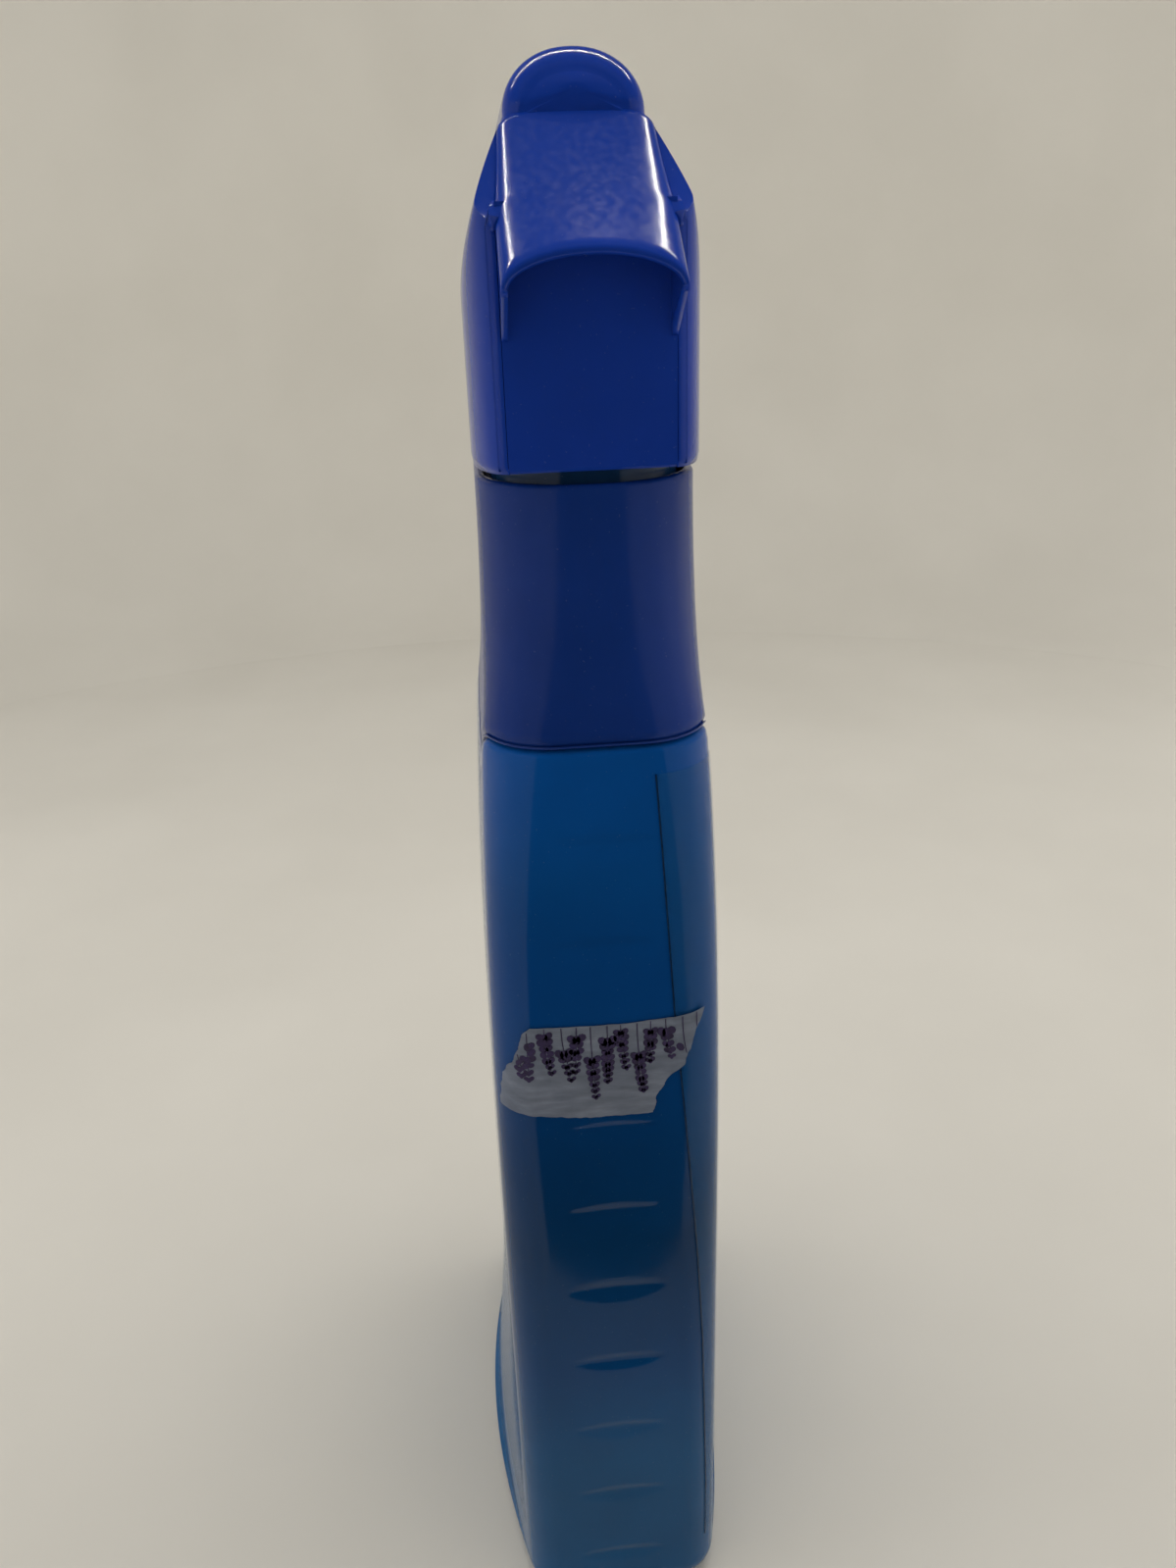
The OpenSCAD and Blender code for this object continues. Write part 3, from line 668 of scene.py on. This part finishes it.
def shroudPiece():
    f = headForm
    points, faces = [], []
    wallSteps, flangeSteps = 34, 4

    def cheekEnd(x):
        a, b = lowerEdge(x) + 5, min(rampTop(x) - coverDrop(x) + 0.2, domeZ)
        for _ in range(24):
            m = (a + b) / 2
            if x < backX + 2 or wallHalf(x, m) > coverSide(x) + f["gap"] + 0.05:
                a = m
            else:
                b = m
        return a

    # the cheeks, on both sides of the rear cover, with their rear edges turned in along it
    xs = [backX + 1.5, backX + 0.8, backX + 0.3] + [backX + (stepX - backX) * (i / 34) ** 2.2 for i in range(35)]
    for side in (1, -1):
        start = len(points)
        for station, x in enumerate(xs):
            turned = station < 3
            edge = coverSide(x) + f["gap"]
            low, end = lowerEdge(x) + (0.6 if turned else 0), cheekEnd(x)
            last = edge if turned else wallHalf(x, end)
            for j in range(wallSteps + 1):
                t = j / wallSteps
                z = lerp(low, end, t)
                y = edge if turned else wallHalf(x, z)
                if j == 0 and not turned:
                    y -= 0.25
                points.append((x, side * y, z))
            for j in range(1, flangeSteps + 1):
                t = j / flangeSteps
                points.append((x, side * lerp(last, edge - 0.5, t), end - 0.4 * t))
        cells = gridFaces(wallSteps + flangeSteps + 1, len(xs), start)
        faces += cells if side > 0 else [tuple(reversed(c)) for c in cells]
    # the dome and the walls forward of the step
    start = len(points)
    rim, front = f["rimRadius"], f["noseRadius"]
    xs = [stepX + rim * (1 - c) for s, c in quarterTurn(8)]
    xs += [lerp(stepX + rim, noseX - front, i / 40) for i in range(1, 41)]
    xs += [noseX - front + front * s for s, c in quarterTurn(6)[1:]]
    joint = cheekEnd(stepX)
    for x in xs:
        half = []
        low, top, wide = lowerEdge(x), domeTop(x), wallHalf(x, domeZ)
        shrink = nose = 0.0
        if x < stepX + rim:
            shrink = rim - math.sqrt(max(0, rim ** 2 - (stepX + rim - x) ** 2))
        if x > noseX - front:
            nose = front - math.sqrt(max(0, front ** 2 - (x - noseX + front) ** 2))
        for j in range(wallSteps + 1):
            z = lerp(low, joint, j / wallSteps)
            half.append((x, wallHalf(x, z) - nose * smooth((z - pivotZ) / 6) - (0.25 if j == 0 else 0), z))
        for j in range(1, 9):
            z = lerp(joint, domeZ, j / 8)
            half.append((x, wallHalf(x, z) - nose - shrink * smooth((z - stepZ + 2.5) / 2.5), z))
        inset = shrink + nose
        for s, c in quarterTurn(20)[1:]:
            y = (wide - inset) * c ** 0.94
            z = domeZ + (top - domeZ - inset) * s ** 0.94
            half.append((x + f["domeLean"] * max(0, z - stepZ - 1) * smooth(1 - (x - stepX) / 9), y, z))
        section = half + [(p[0], -p[1], p[2]) for p in reversed(half[:-1])]
        points += section
    columns = len(section)
    faces += gridFaces(columns, len(xs), start)
    # the dome's rear face, slightly crowned, closes towards its middle
    loop = [start + i for i in range(wallSteps, columns - wallSteps)]
    outline = [points[i] for i in loop]
    x, y, z = outline[0]
    for k in range(1, 12):
        outline.append((x, lerp(-y, y, k / 12), z))
        points.append(outline[-1])
        loop.append(len(points) - 1)
    centreZ = stepZ + 2.5
    centreX = stepX + f["domeLean"] * (centreZ - stepZ - 1)
    for t in (0.93, 0.84, 0.72, 0.58, 0.42, 0.22):
        inner = []
        for x, y, z in outline:
            points.append((lerp(centreX, x, t) - 0.7 * (1 - t * t), y * t, lerp(centreZ, z, t)))
            inner.append(len(points) - 1)
        for k in range(len(loop)):
            n = (k + 1) % len(loop)
            faces.append((loop[k], inner[k], inner[n], loop[n]))
        loop = inner
    faces.append(tuple(reversed(loop)))
    # the front plate, an arch round the barrel
    lastStart = start + (len(xs) - 1) * columns
    front = [i for i in range(columns) if points[lastStart + i][2] >= barrelZ - 5.3]
    ringIn = []
    for i in front:
        x, y, z = points[lastStart + i]
        a, r = math.atan2(z - barrelZ, y), f["barrelHole"]
        points.append((noseX, r * math.cos(a), barrelZ + r * math.sin(a)))
        ringIn.append(len(points) - 1)
    for k in range(len(front) - 1):
        faces.append((lastStart + front[k], lastStart + front[k + 1], ringIn[k + 1], ringIn[k]))
    return makePiece("headShroud", points, faces, headPlastic, "sprayer", ["shroud"], 38, f["wall"])


shroudPiece()
print("shroud made")


def coverPiece():
    f = headForm
    points = []
    stations, crownSteps, wallSteps = 46, 28, 8
    for i in range(stations + 1):
        s = i / stations
        x, top = bezier(*rampEnds, s)
        half = coverSide(x) - 0.02
        curl = 0.5 * (1 - min(1, s / 0.04)) ** 2
        drop, square = coverDrop(x), lerp(2.0, 4.5, s)
        low = top - drop - curl
        if x < backX:
            floor = lookup(x, lipEdge)
        else:
            floor = low - lerp(8, 1.8, clamp01((x - backX) / 6))
        side = [(half, lerp(min(floor, low - 0.3), low, j / wallSteps)) for j in range(wallSteps)]
        for j in range(crownSteps + 1):
            v = math.cos(math.pi / 2 * j / crownSteps)
            side.append((half * v, low + drop * math.sqrt(1 - v ** square)))
        section = side + [(-y, z) for y, z in reversed(side[:-1])]
        points += [(x, y, z) for y, z in section]
    columns = 2 * (wallSteps + crownSteps) + 1
    faces = gridFaces(columns, stations + 1)
    return makePiece("coverRamp", points, faces, headPlastic, "sprayer", ["rear_cover"], 50,
                     f["coverWall"])


def columnPiece():
    half, low, high = headForm["coverHalf"] - 0.02, headZ, rampTop(backX) - 1.6
    edge, hollow, depth = 0.35, 0.25, 1.5
    points = []
    rows = [(low, edge), (low + edge, 0.0)] + [(lerp(low + edge, high, i / 20), 0.0) for i in range(1, 21)]
    for z, bevel in rows:
        dish = hollow * smooth((z - low - 3) / 6)
        side = half - bevel * 0.5
        for k in range(25):
            y = lerp(side, -side, k / 24)
            points.append((backX + bevel + dish * (1 - (abs(y) / half) ** 8), y, z))
        points += [(backX + depth, -side, z), (backX + depth, side, z)]
    faces = loftFaces(27, len(rows))
    return makePiece("coverColumn", points, faces, headPlastic, "sprayer", (), 40)


def skirtPiece():
    form = {"inset": 2.6, "wall": 0.8, "below": 1.6, "above": 2.2, "groove": 0.12}
    model = collarSection(collarTop - 0.1, form["inset"])
    bottom, top = collarTop - form["below"], headZ + form["above"]

    def skirtRing(z, t):
        section = [c - 2 * t for c in model[:3]] + [model[3] - t]
        return [(backX + form["inset"] + model[0] / 2 + x, y, z) for x, y in ring(section)]

    rings = [skirtRing(z, 0) for z in (bottom, collarTop - 0.6)]
    rings += [skirtRing(z, form["groove"]) for z in (collarTop - 0.4, collarTop + 0.6)]
    rings += [skirtRing(z, 0) for z in (headZ - 0.3, top)]
    rings += [skirtRing(z, form["wall"]) for z in (top, bottom)]
    faces = loftFaces(ringSteps, len(rings), closed=True)
    # its dark blue is painted shade of the gap under the head
    return makePiece("headSkirt", flatten(rings), faces, shadedSkirtPlastic, "sprayer", (), 50)


coverPiece()
columnPiece()
skirtPiece()
print("rear cover made")


nozzle = {"half": 8.5, "corner": 3.0, "bore": 5.56, "recess": 3.5, "orifice": 0.5, "round": 1.2,
          "grooves": 4, "pitch": 2.1, "grooveDepth": 0.35, "sides": 96}


def squareRing(x, half, corner):
    points = []
    flat = half - corner
    for i in range(nozzle["sides"]):
        a = 2 * math.pi * i / nozzle["sides"]
        c, s = math.cos(a), math.sin(a)
        reach = half / max(abs(c), abs(s))
        y, z = c * reach, s * reach
        if abs(y) > flat and abs(z) > flat:
            cy, cz = math.copysign(flat, c), math.copysign(flat, s)
            b = c * cy + s * cz
            r = b + math.sqrt(max(0, b * b - (cy * cy + cz * cz - corner * corner)))
            y, z = c * r, s * r
        points.append((x, y, barrelZ + z))
    return points


def circleRing(x, r):
    angles = [2 * math.pi * i / nozzle["sides"] for i in range(nozzle["sides"])]
    return [(x, r * math.cos(a), barrelZ + r * math.sin(a)) for a in angles]


def nozzlePiece():
    n = nozzle
    low, high = capLow[0], capHigh[0]
    floor = spinnerFront + 0.3
    half, corner, bore, recess, orifice = n["half"], n["corner"], n["bore"], n["recess"], n["orifice"]
    rings = [circleRing(low, bore), circleRing(low, bore + 0.6)]
    for dx, inset in ((0, 0.6), (0.2, 0.15), (0.6, 0)):
        rings.append(squareRing(low + dx, half - inset, corner))
    for k in range(n["grooves"]):
        x = low + 1.6 + k * n["pitch"]
        for dx, inset in ((0, 0), (0.3, n["grooveDepth"]), (1.1, n["grooveDepth"]), (1.4, 0)):
            rings.append(squareRing(x + dx, half - inset, corner))
    for s, c in quarterTurn(5):
        rings.append(squareRing(high - n["round"] + n["round"] * s, half - n["round"] * (1 - c), corner))
    rings.append(squareRing(high, half - 2.2, corner - 0.6))
    # the face, its recess and the orifice, then the hollow behind them
    for x, r in ((high, recess + 0.7), (high, recess + 0.15), (high - 0.2, recess), (high - 1.0, recess - 0.2),
                 (high - 1.05, orifice + 0.5), (high - 1.2, orifice), (floor, orifice),
                 (floor, bore - 0.4), (floor - 0.4, bore)):
        rings.append(circleRing(x, r))
    faces = loftFaces(n["sides"], len(rings), closed=True)
    return makePiece("nozzleCap", flatten(rings), faces, headPlastic, "nozzle", ["nozzle_cap"], 35)


nozzlePiece()

lever = {"width": 16.0, "drop": 61.0, "plate": 2.2, "flange": 1.5, "edge": 1.8, "hub": 3.6, "hubHalf": 6.5,
         "pin": 2.0, "pinHalf": 8.8, "webPlace": 5.75, "webHalf": 0.75}


def addRod(points, faces, start, end, radii, sides=48):
    axis = Vector(end) - Vector(start)
    along = axis.normalized()
    sideways = along.orthogonal().normalized()
    other = along.cross(sideways)
    first = len(points)
    for t, r in radii:
        centre = Vector(start) + axis * t
        for i in range(sides):
            a = 2 * math.pi * i / sides
            points.append(tuple(centre + (sideways * math.cos(a) + other * math.sin(a)) * r))
    faces += loftFaces(sides, len(radii), first)


def addBlock(points, faces, low, high, edge=0.4):
    first = len(points)
    cx, cy = (low[0] + high[0]) / 2, (low[1] + high[1]) / 2
    hx, hy = (high[0] - low[0]) / 2, (high[1] - low[1]) / 2
    steps = 4
    bottom = [(low[2] + edge * t, edge * inset) for t, inset in ((0, 1), (0.3, 0.3), (1, 0))]
    top = [(high[2] - edge * t, edge * inset) for t, inset in ((1, 0), (0.3, 0.3), (0, 1))]
    for z, inset in bottom + top:
        r = edge - inset * 0.7
        for corner, (sx, sy) in enumerate(((1, 1), (-1, 1), (-1, -1), (1, -1))):
            for k in range(steps + 1):
                a = math.pi / 2 * (corner + k / steps)
                points.append((cx + sx * (hx - edge) + r * math.cos(a), cy + sy * (hy - edge) + r * math.sin(a), z))
    faces += loftFaces(4 * (steps + 1), len(bottom + top), first)


def triggerPiece():
    v = lever
    points, faces = [], []
    curve = ((pivotX + 3.6, pivotZ - 5), (pivotX + 4, pivotZ - v["drop"] * 0.45), (pivotX + 20, pivotZ - v["drop"]))
    half, plate, flange, r = v["width"] / 2, v["plate"], v["flange"], v["edge"]
    stations, tipStart = 48, 0.94
    for i in range(stations + 1):
        s = i / stations
        x, z = bezier(*curve, s)
        x2, z2 = bezier(*curve, min(1, s + 0.01))
        x1, z1 = bezier(*curve, max(0, s - 0.01))
        tangent = Vector((x2 - x1, 0, z2 - z1)).normalized()
        back = Vector((tangent.z, 0, -tangent.x))
        back = back if back.x < 0 else -back
        tipRound = math.sqrt(max(0, 1 - max(0, (s - tipStart) / 0.062) ** 2))
        w = half * (0.62 + 0.38 * tipRound) if s > tipStart else half
        depth = max(plate + 0.3, plate + 3.3 * math.sin(math.pi * min(1, s + 0.1)) + 0.5)
        groove = 0.35 * math.sin(math.pi * clamp01((s - 0.12) / 0.8)) ** 2
        # half the outline, from the flange's rear edge to the middle of the grip
        part = [(w, depth)]
        for k in range(7):
            a = math.pi / 2 * k / 6
            part.append((w - r + r * math.cos(a), r - r * math.sin(a)))
        for k in range(1, 7):
            y = (w - r) * (1 - k / 6)
            part.append((y, groove * (1 - (y / (w - r)) ** 2)))
        hollow = [(w - flange - 0.6, plate), (w - flange, plate + 0.6), (w - flange, depth)]
        outline = part + [(-y, d) for y, d in reversed(part[:-1])]
        outline += [(-y, d) for y, d in reversed(hollow)] + hollow
        points += [(x + back.x * d, y, z + back.z * d) for y, d in outline]
    faces += loftFaces(len(outline), stations + 1)
    for reach, radius, bevel, end in ((v["hubHalf"], v["hub"], 0.4, 0.03), (v["pinHalf"], v["pin"], 0.3, 0.02)):
        radii = [(0, radius - bevel), (end, radius), (1 - end, radius), (1, radius - bevel)]
        addRod(points, faces, (pivotX, -reach, pivotZ), (pivotX, reach, pivotZ), radii)
    addBlock(points, faces, (pivotX + 1.3, -2.5, cylinderZ - 3), (pivotX + 4.6, 2.5, cylinderZ + 3))
    for side in (-1, 1):
        y = side * v["webPlace"]
        addBlock(points, faces, (pivotX - 1, y - v["webHalf"], cylinderZ), (pivotX + 3.6, y + v["webHalf"], pivotZ))
    return makePiece("triggerLever", points, faces, headPlastic, "trigger", ["trigger"], 35)


triggerPiece()
print("nozzle and trigger made")


# films and tape that follow the bottle's skin
def skinPoint(u, z, lift):
    s = bottleSection(z)
    e, r = s[1] / 2 - s[3], s[3]
    side = 1 if u >= 0 else -1
    u = abs(u)
    if u <= e:
        return (backX - lift, side * u, z - seamDip(z, -s[0] / 2, s))
    a = min((u - e) / r, math.pi / 2)
    x = -s[0] / 2 + r * (1 - math.cos(a))
    y = e + r * math.sin(a)
    return (backX + s[0] / 2 + x - lift * math.cos(a), side * (y + lift * math.sin(a)), z - seamDip(z, x, s))


filmForm = {
    "thick": 0.18, "lift": 0.1, "edgeBand": 0.3, "low": 14, "high": shoulderZ - 5,
    "rearEdge": [(206.4, 8.4), (187.6, 9.7), (173.2, 10.6), (157, 11.6), (132.9, 13.6), (101.5, 16.0),
                 (74.9, 17.6), (30.5, 19.0)],
}


def filmStrip(side, z, layer):
    s = bottleSection(z)
    e, r = s[1] / 2 - s[3], s[3]
    model = levelRing(z, bottleSection(z, -layer), -layer)
    first = 2 * quarterSteps - side * bottleForm["endSteps"]
    corner, flat = bottleForm["cornerSteps"], 2 * bottleForm["sideSteps"] + 3
    strip = [model[first - side * (corner + k)] for k in range(1, flat)]
    if side > 0:
        return strip
    # this one starts on the back of the bottle and goes round the corner
    turn = e + r * (math.pi / 2 - math.atan((s[2] - s[1]) / (s[0] / 2 - r))) * 0.97
    edge = lookup(z, filmForm["rearEdge"])
    band = edge + filmForm["edgeBand"]
    corner = [skinPoint(-lerp(band, turn, t / 12), z, layer) for t in range(13)]
    return [skinPoint(-edge, z, layer)] + corner + strip


def filmPiece(name, side, node):
    g = filmForm
    rows = 90
    points = []
    for layer in (g["lift"], g["lift"] + g["thick"]):
        for j in range(rows + 1):
            strip = filmStrip(side, lerp(g["low"], g["high"], j / rows), layer)
            points += strip
    piece = makePiece(name, points, slabFaces(len(strip), rows + 1), labelFilm, "bottle", [node], 60)
    if side < 0:
        # the glued rear edge reads as a thin dark line
        piece.data.materials.append(filmEdge)
        for polygon in piece.data.polygons:
            x, y, z = (c / mm for c in polygon.center)
            if y > skinPoint(-lookup(z, g["rearEdge"]) - g["edgeBand"], z, g["lift"])[1]:
                polygon.material_index = 1


filmPiece("leftLabelFilm", 1, "left_label")
filmPiece("rightLabelFilm", -1, "right_label")
print("label films made")

# the tape, with edges given as heights and widths about its middle
tapeMiddle = (tapeLow[2] + tapeHigh[2]) / 2
tape = {
    "half": 10, "thick": 0.16, "lift": 0.16, "overFilm": 0.3, "ripple": 0.05,
    "left": [(-10, 21.6), (-5, 20.9), (-2, 20.2), (1.5, 18.2), (5, 16.6), (8.5, 15.6), (10, 14.4)],
    "right": [(-10, -7.9), (-6.5, -8.3), (-3, -10.3), (0, -13.4), (5, -15.2), (10, -17.2)],
    "top": [(-17.2, 11.6), (-10, 10.6), (-3, 10.1), (4, 10.2), (14.4, 10.6), (22, 11)],
    "bottom": [(-17, -9.9), (-8, -9.9), (4, -9.9), (11.6, -8.9), (21.6, -7.6)],
}


def wobble(b, coarse, coarseSeed, fine, fineSeed):
    return (noise.noise(Vector((b * coarse, coarseSeed, 0))) * 0.9
            + noise.noise(Vector((b * fine, fineSeed, 0))) * 0.35) * 0.6


def tapeSpot(a, b):
    height = lerp(-tape["half"], tape["half"], b)
    left = lookup(height, tape["left"]) + wobble(b, 9, 3.1, 34, 9.7)
    right = lookup(height, tape["right"]) + wobble(b, 8, 17.3, 30, 5.2)
    u = lerp(right, left, a)
    high = tapeMiddle + lookup(u, tape["top"]) + 0.08 * noise.noise(Vector((u * 0.7, 1.5, 0)))
    low = tapeMiddle + lookup(u, tape["bottom"]) + 0.15 * noise.noise(Vector((u * 0.9, 7.5, 0)))
    return u, lerp(low, high, b)


def tapeLift(u, z):
    edge = -lookup(z, filmForm["rearEdge"])
    return tape["lift"] + tape["overFilm"] * smooth((edge + 1.2 - u) / 1.2)


def tapePiece():
    columns, rows = 110, 60
    points = []
    for layer in (0.0, tape["thick"]):
        for j in range(rows + 1):
            for i in range(columns + 1):
                u, z = tapeSpot(1 - i / columns, j / rows)
                ripple = tape["ripple"] * noise.noise(Vector((u * 0.45, z * 0.25, 2.0)))
                points.append(skinPoint(u, z, tapeLift(u, z) + layer + max(0, ripple)))
    faces = [tuple(reversed(f)) for f in slabFaces(columns + 1, rows + 1)]
    return makePiece("paperTape", points, faces, tapePaper, "bottle", ["tape_strip"], 60)


tapePiece()


def insideTape(u, z, margin=0.35):
    h = z - tapeMiddle
    top, low = lookup(u, tape["top"]), lookup(u, tape["bottom"])
    height = lerp(-tape["half"], tape["half"], clamp01((h - low) / (top - low)))
    right, left = (lookup(height, tape[side]) for side in ("right", "left"))
    return low + margin < h < top - margin * 0.2 and right + margin + 0.3 < u < left - margin - 0.3


sprigs = {"start": -15.6, "end": 20.5, "stemHalf": 0.085, "bottom": 0.015, "leafTop": 0.05, "stemTop": 0.045,
          "drops": (1.6, 6.2, 2.4, 2.0, 6.8, 1.4, 3.0, 7.0, 2.2, 5.2, 1.4, 3.4)}


def inkPoint(u, z, lift, aside=0.0):
    return skinPoint(u + aside, z, tapeLift(u, z) + tape["thick"] + tape["ripple"] + lift)


def sprigPiece():
    points, faces = [], []

    def addLeaf(u, z, length, width, angle):
        corners = []
        for k in range(8):
            a = 2 * math.pi * k / 8
            du, dz = width / 2 * math.cos(a), length / 2 * math.sin(a) * (1.15 if math.sin(a) < 0 else 0.85)
            corners.append((u + du * math.cos(angle) - dz * math.sin(angle),
                            z + du * math.sin(angle) + dz * math.cos(angle)))
        if not all(insideTape(p, q) for p, q in corners):
            return
        faces.extend(loftFaces(8, 2, len(points)))
        for lift in (sprigs["bottom"], sprigs["leafTop"]):
            points.extend(inkPoint(p, q, lift) for p, q in corners)

    def addStem(u, zTop, zLow, sway):
        steps, width = 10, sprigs["stemHalf"]
        outline = [(-width, sprigs["bottom"]), (-width, sprigs["stemTop"]),
                   (width, sprigs["stemTop"]), (width, sprigs["bottom"])]
        spots = [(u + sway * t * t, lerp(zTop, zLow, t)) for t in (k / steps for k in range(steps + 1))]
        spots = [(x, z) for x, z in spots if insideTape(x, z, 0.05)]
        if len(spots) > 1:
            faces.extend(loftFaces(4, len(spots), len(points)))
            points.extend(inkPoint(x, z, lift, aside) for x, z in spots for aside, lift in outline)

    u = sprigs["start"]
    index = 0
    while u < sprigs["end"]:
        z = tapeMiddle + lookup(u, tape["top"]) - 0.1
        stem = sprigs["drops"][index % len(sprigs["drops"])]
        bloom = random.uniform(5.5, 9.0)
        sway = random.uniform(-1.6, 0.8)
        addStem(u, z, z - stem - bloom * 0.8, sway)
        whorls = int(bloom / 1.2)
        for k in range(whorls + 1):
            t = k / whorls
            zz = z - stem - bloom * t
            uu = u + sway * ((stem + bloom * t) / (stem + bloom)) ** 2
            size = lerp(1.95, 1.1, t) * random.uniform(0.85, 1.15)
            addLeaf(uu - size * 0.42, zz, size, size * 0.7, 0.7 + random.uniform(-0.3, 0.3))
            addLeaf(uu + size * 0.42, zz - 0.15, size, size * 0.7, -0.7 + random.uniform(-0.3, 0.3))
            if k % 2 == 0 or t > 0.7:
                addLeaf(uu, zz - 0.35, size * 0.95, size * 0.7, random.uniform(-0.3, 0.3))
        u += random.uniform(2.4, 3.1)
        index += 1
    return makePiece("tapeSprigs", points, faces, sprigInk, "bottle", (), 60)


sprigPiece()
print("tape made")

# the camera stands behind the bottle and looks a little down on it
view = {"swing": -5.663, "turn": -0.765, "pitch": 23.214, "roll": -1.919, "distance": 179.94, "height": 279.15,
        "lens": 27.498687}
swing = math.radians(view["swing"])
yaw = math.radians(view["swing"] - view["turn"])
pitch, roll = math.radians(view["pitch"]), math.radians(view["roll"])
place = Vector((backX - view["distance"] * math.cos(swing), -view["distance"] * math.sin(swing), view["height"]))
forward = Vector((math.cos(yaw) * math.cos(pitch), math.sin(yaw) * math.cos(pitch), -math.sin(pitch)))
right = forward.cross(Vector((0, 0, 1))).normalized()
up = right.cross(forward)
cosRoll, sinRoll = math.cos(roll), math.sin(roll)
right, up = right * cosRoll + up * sinRoll, up * cosRoll - right * sinRoll
cameraData = bpy.data.cameras.new("camera")
cameraData.sensor_width = 36
cameraData.lens = view["lens"]
cameraData.clip_start = 0.01
camera = bpy.data.objects.new("camera", cameraData)
bpy.context.scene.collection.objects.link(camera)
rows = [(right[i], up[i], -forward[i], place[i] * mm) for i in range(3)]
camera.matrix_world = Matrix((*rows, (0, 0, 0, 1)))
bpy.context.scene.camera = camera


def stageMesh(name, points, faces, material):
    mesh = bpy.data.meshes.new(name)
    mesh.from_pydata([tuple(c * mm for c in p) for p in points], [], faces)
    mesh.materials.append(material)
    obj = bpy.data.objects.new(name, mesh)
    bpy.context.scene.collection.objects.link(obj)
    return obj


def glossOnly(obj):
    obj.visible_camera = obj.visible_diffuse = obj.visible_shadow = obj.visible_transmission = False


palePaint = tonedMaterial("paleFloor", [(0.35, (0.70, 0.68, 0.63)), (0.65, (0.74, 0.72, 0.67))],
                          (6, 4), (0.55, 0.7), (700, 2), (0.1, 0.0001), {"Specular IOR Level": 0.2})
floorHalf = 4000
stageMesh("floor", [(x * floorHalf, y * floorHalf, 0) for x, y in ((-1, -1), (1, -1), (1, 1), (-1, 1))],
          [(0, 1, 2, 3)], palePaint)

# a black flag behind the camera, seen only in gloss
flagForm = {
    "floor": [(-137, -6, -13), (-140, 2, -20), (-146, 8, -26), (-156, 13, -32), (-172, 22, -42), (-200, 45, -75),
              (-250, 90, -130), (-330, 170, -210)],
    "lift": 0.6, "top": 620,
}


def flagPiece():
    g = flagForm
    rows = [(x, left, right, g["lift"]) for x, left, right in g["floor"]]
    x, left, right = g["floor"][-1]
    rows += [(x, left, right, lerp(g["lift"], g["top"], i / 6)) for i in range(1, 7)]
    points = [(x, y, z) for x, left, right, z in rows for y in (left, right)]
    faces = [(2 * i, 2 * i + 1, 2 * i + 3, 2 * i + 2) for i in range(len(rows) - 1)]
    dark = plainMaterial("darkFlag", {"Base Color": (0.01, 0.01, 0.012, 1), "Roughness": 1.0})
    glossOnly(stageMesh("blackFlag", points, faces, dark))


flagPiece()


def areaLight(name, place, target, size, power, colour):
    data = bpy.data.lights.new(name, "AREA")
    data.shape = "RECTANGLE"
    data.size, data.size_y = size
    data.energy, data.color = power, colour
    light = bpy.data.objects.new(name, data)
    bpy.context.scene.collection.objects.link(light)
    light.location = place
    light.rotation_euler = (Vector(target) - Vector(place)).to_track_quat("-Z", "Y").to_euler()
    light.visible_glossy = False


areaLight("topPanel", (0.05, 0.0, 0.95), (0, 0, 0.1), (0.9, 0.9), 5.4, (1, 0.975, 0.93))
for name, side, power in (("leftWall", 1, 1.9), ("rightWall", -1, 2.2)):
    areaLight(name, (0.1, side * 0.85, 0.35), (0, 0, 0.15), (0.7, 0.6), power, (1, 0.985, 0.96))


# a row of small lamps overhead, seen only in gloss
lampRow = {"count": 34, "reach": 330, "x": 104, "z": 640, "half": 3.0}


def lampPiece():
    g = lampRow
    points, faces = [], []
    for i in range(g["count"]):
        y = lerp(-g["reach"], g["reach"], i / (g["count"] - 1))
        start = len(points)
        for dx, dy in ((-1, -1), (1, -1), (1, 1), (-1, 1)):
            points.append((g["x"] + dx * g["half"], y + dy * g["half"], g["z"]))
        faces.append((start, start + 3, start + 2, start + 1))
    glow = plainMaterial("stageLamp", {"Base Color": (0, 0, 0, 1), "Emission Color": (1, 0.97, 0.92, 1),
                                       "Emission Strength": 380.0})
    glossOnly(stageMesh("overheadLamps", points, faces, glow))


lampPiece()

world = bpy.data.worlds.new("studio")
bpy.context.scene.world = world
world.use_nodes = True
tree = world.node_tree
sky = tree.nodes["Background"]
coords = tree.nodes.new("ShaderNodeTexCoord")
split = tree.nodes.new("ShaderNodeSeparateXYZ")
tree.links.new(coords.outputs["Generated"], split.inputs["Vector"])
height = rangeNode(tree, split.outputs["Z"], 0, 1, -0.1, 0.8)
skyTones = [(0.0, (0.42, 0.41, 0.385)), (0.4, (0.5, 0.49, 0.46)),
            (0.7, (0.2, 0.196, 0.185)), (1.0, (0.08, 0.08, 0.078))]
tree.links.new(rampNode(tree, height, skyTones), sky.inputs["Color"])
sky.inputs["Strength"].default_value = 0.9


def tentPiece():
    radius, cove, height, sides, lift = 1000, 260, 900, 96, 0.05
    rows = [(radius - cove * (1 - s), cove * (1 - c)) for s, c in quarterTurn(12)] + [(radius, height)]
    angles = [2 * math.pi * i / sides for i in range(sides)]
    points = [(r * math.cos(a), r * math.sin(a), z + lift) for r, z in rows for a in angles]
    tent = stageMesh("backdrop", points, loftFaces(sides, len(rows), caps=False), palePaint)
    tent.data.polygons.foreach_set("use_smooth", [True] * len(tent.data.polygons))


tentPiece()

scene = bpy.context.scene
scene.view_settings.view_transform = "Standard"
scene.view_settings.look = "None"
print("camera and light set")
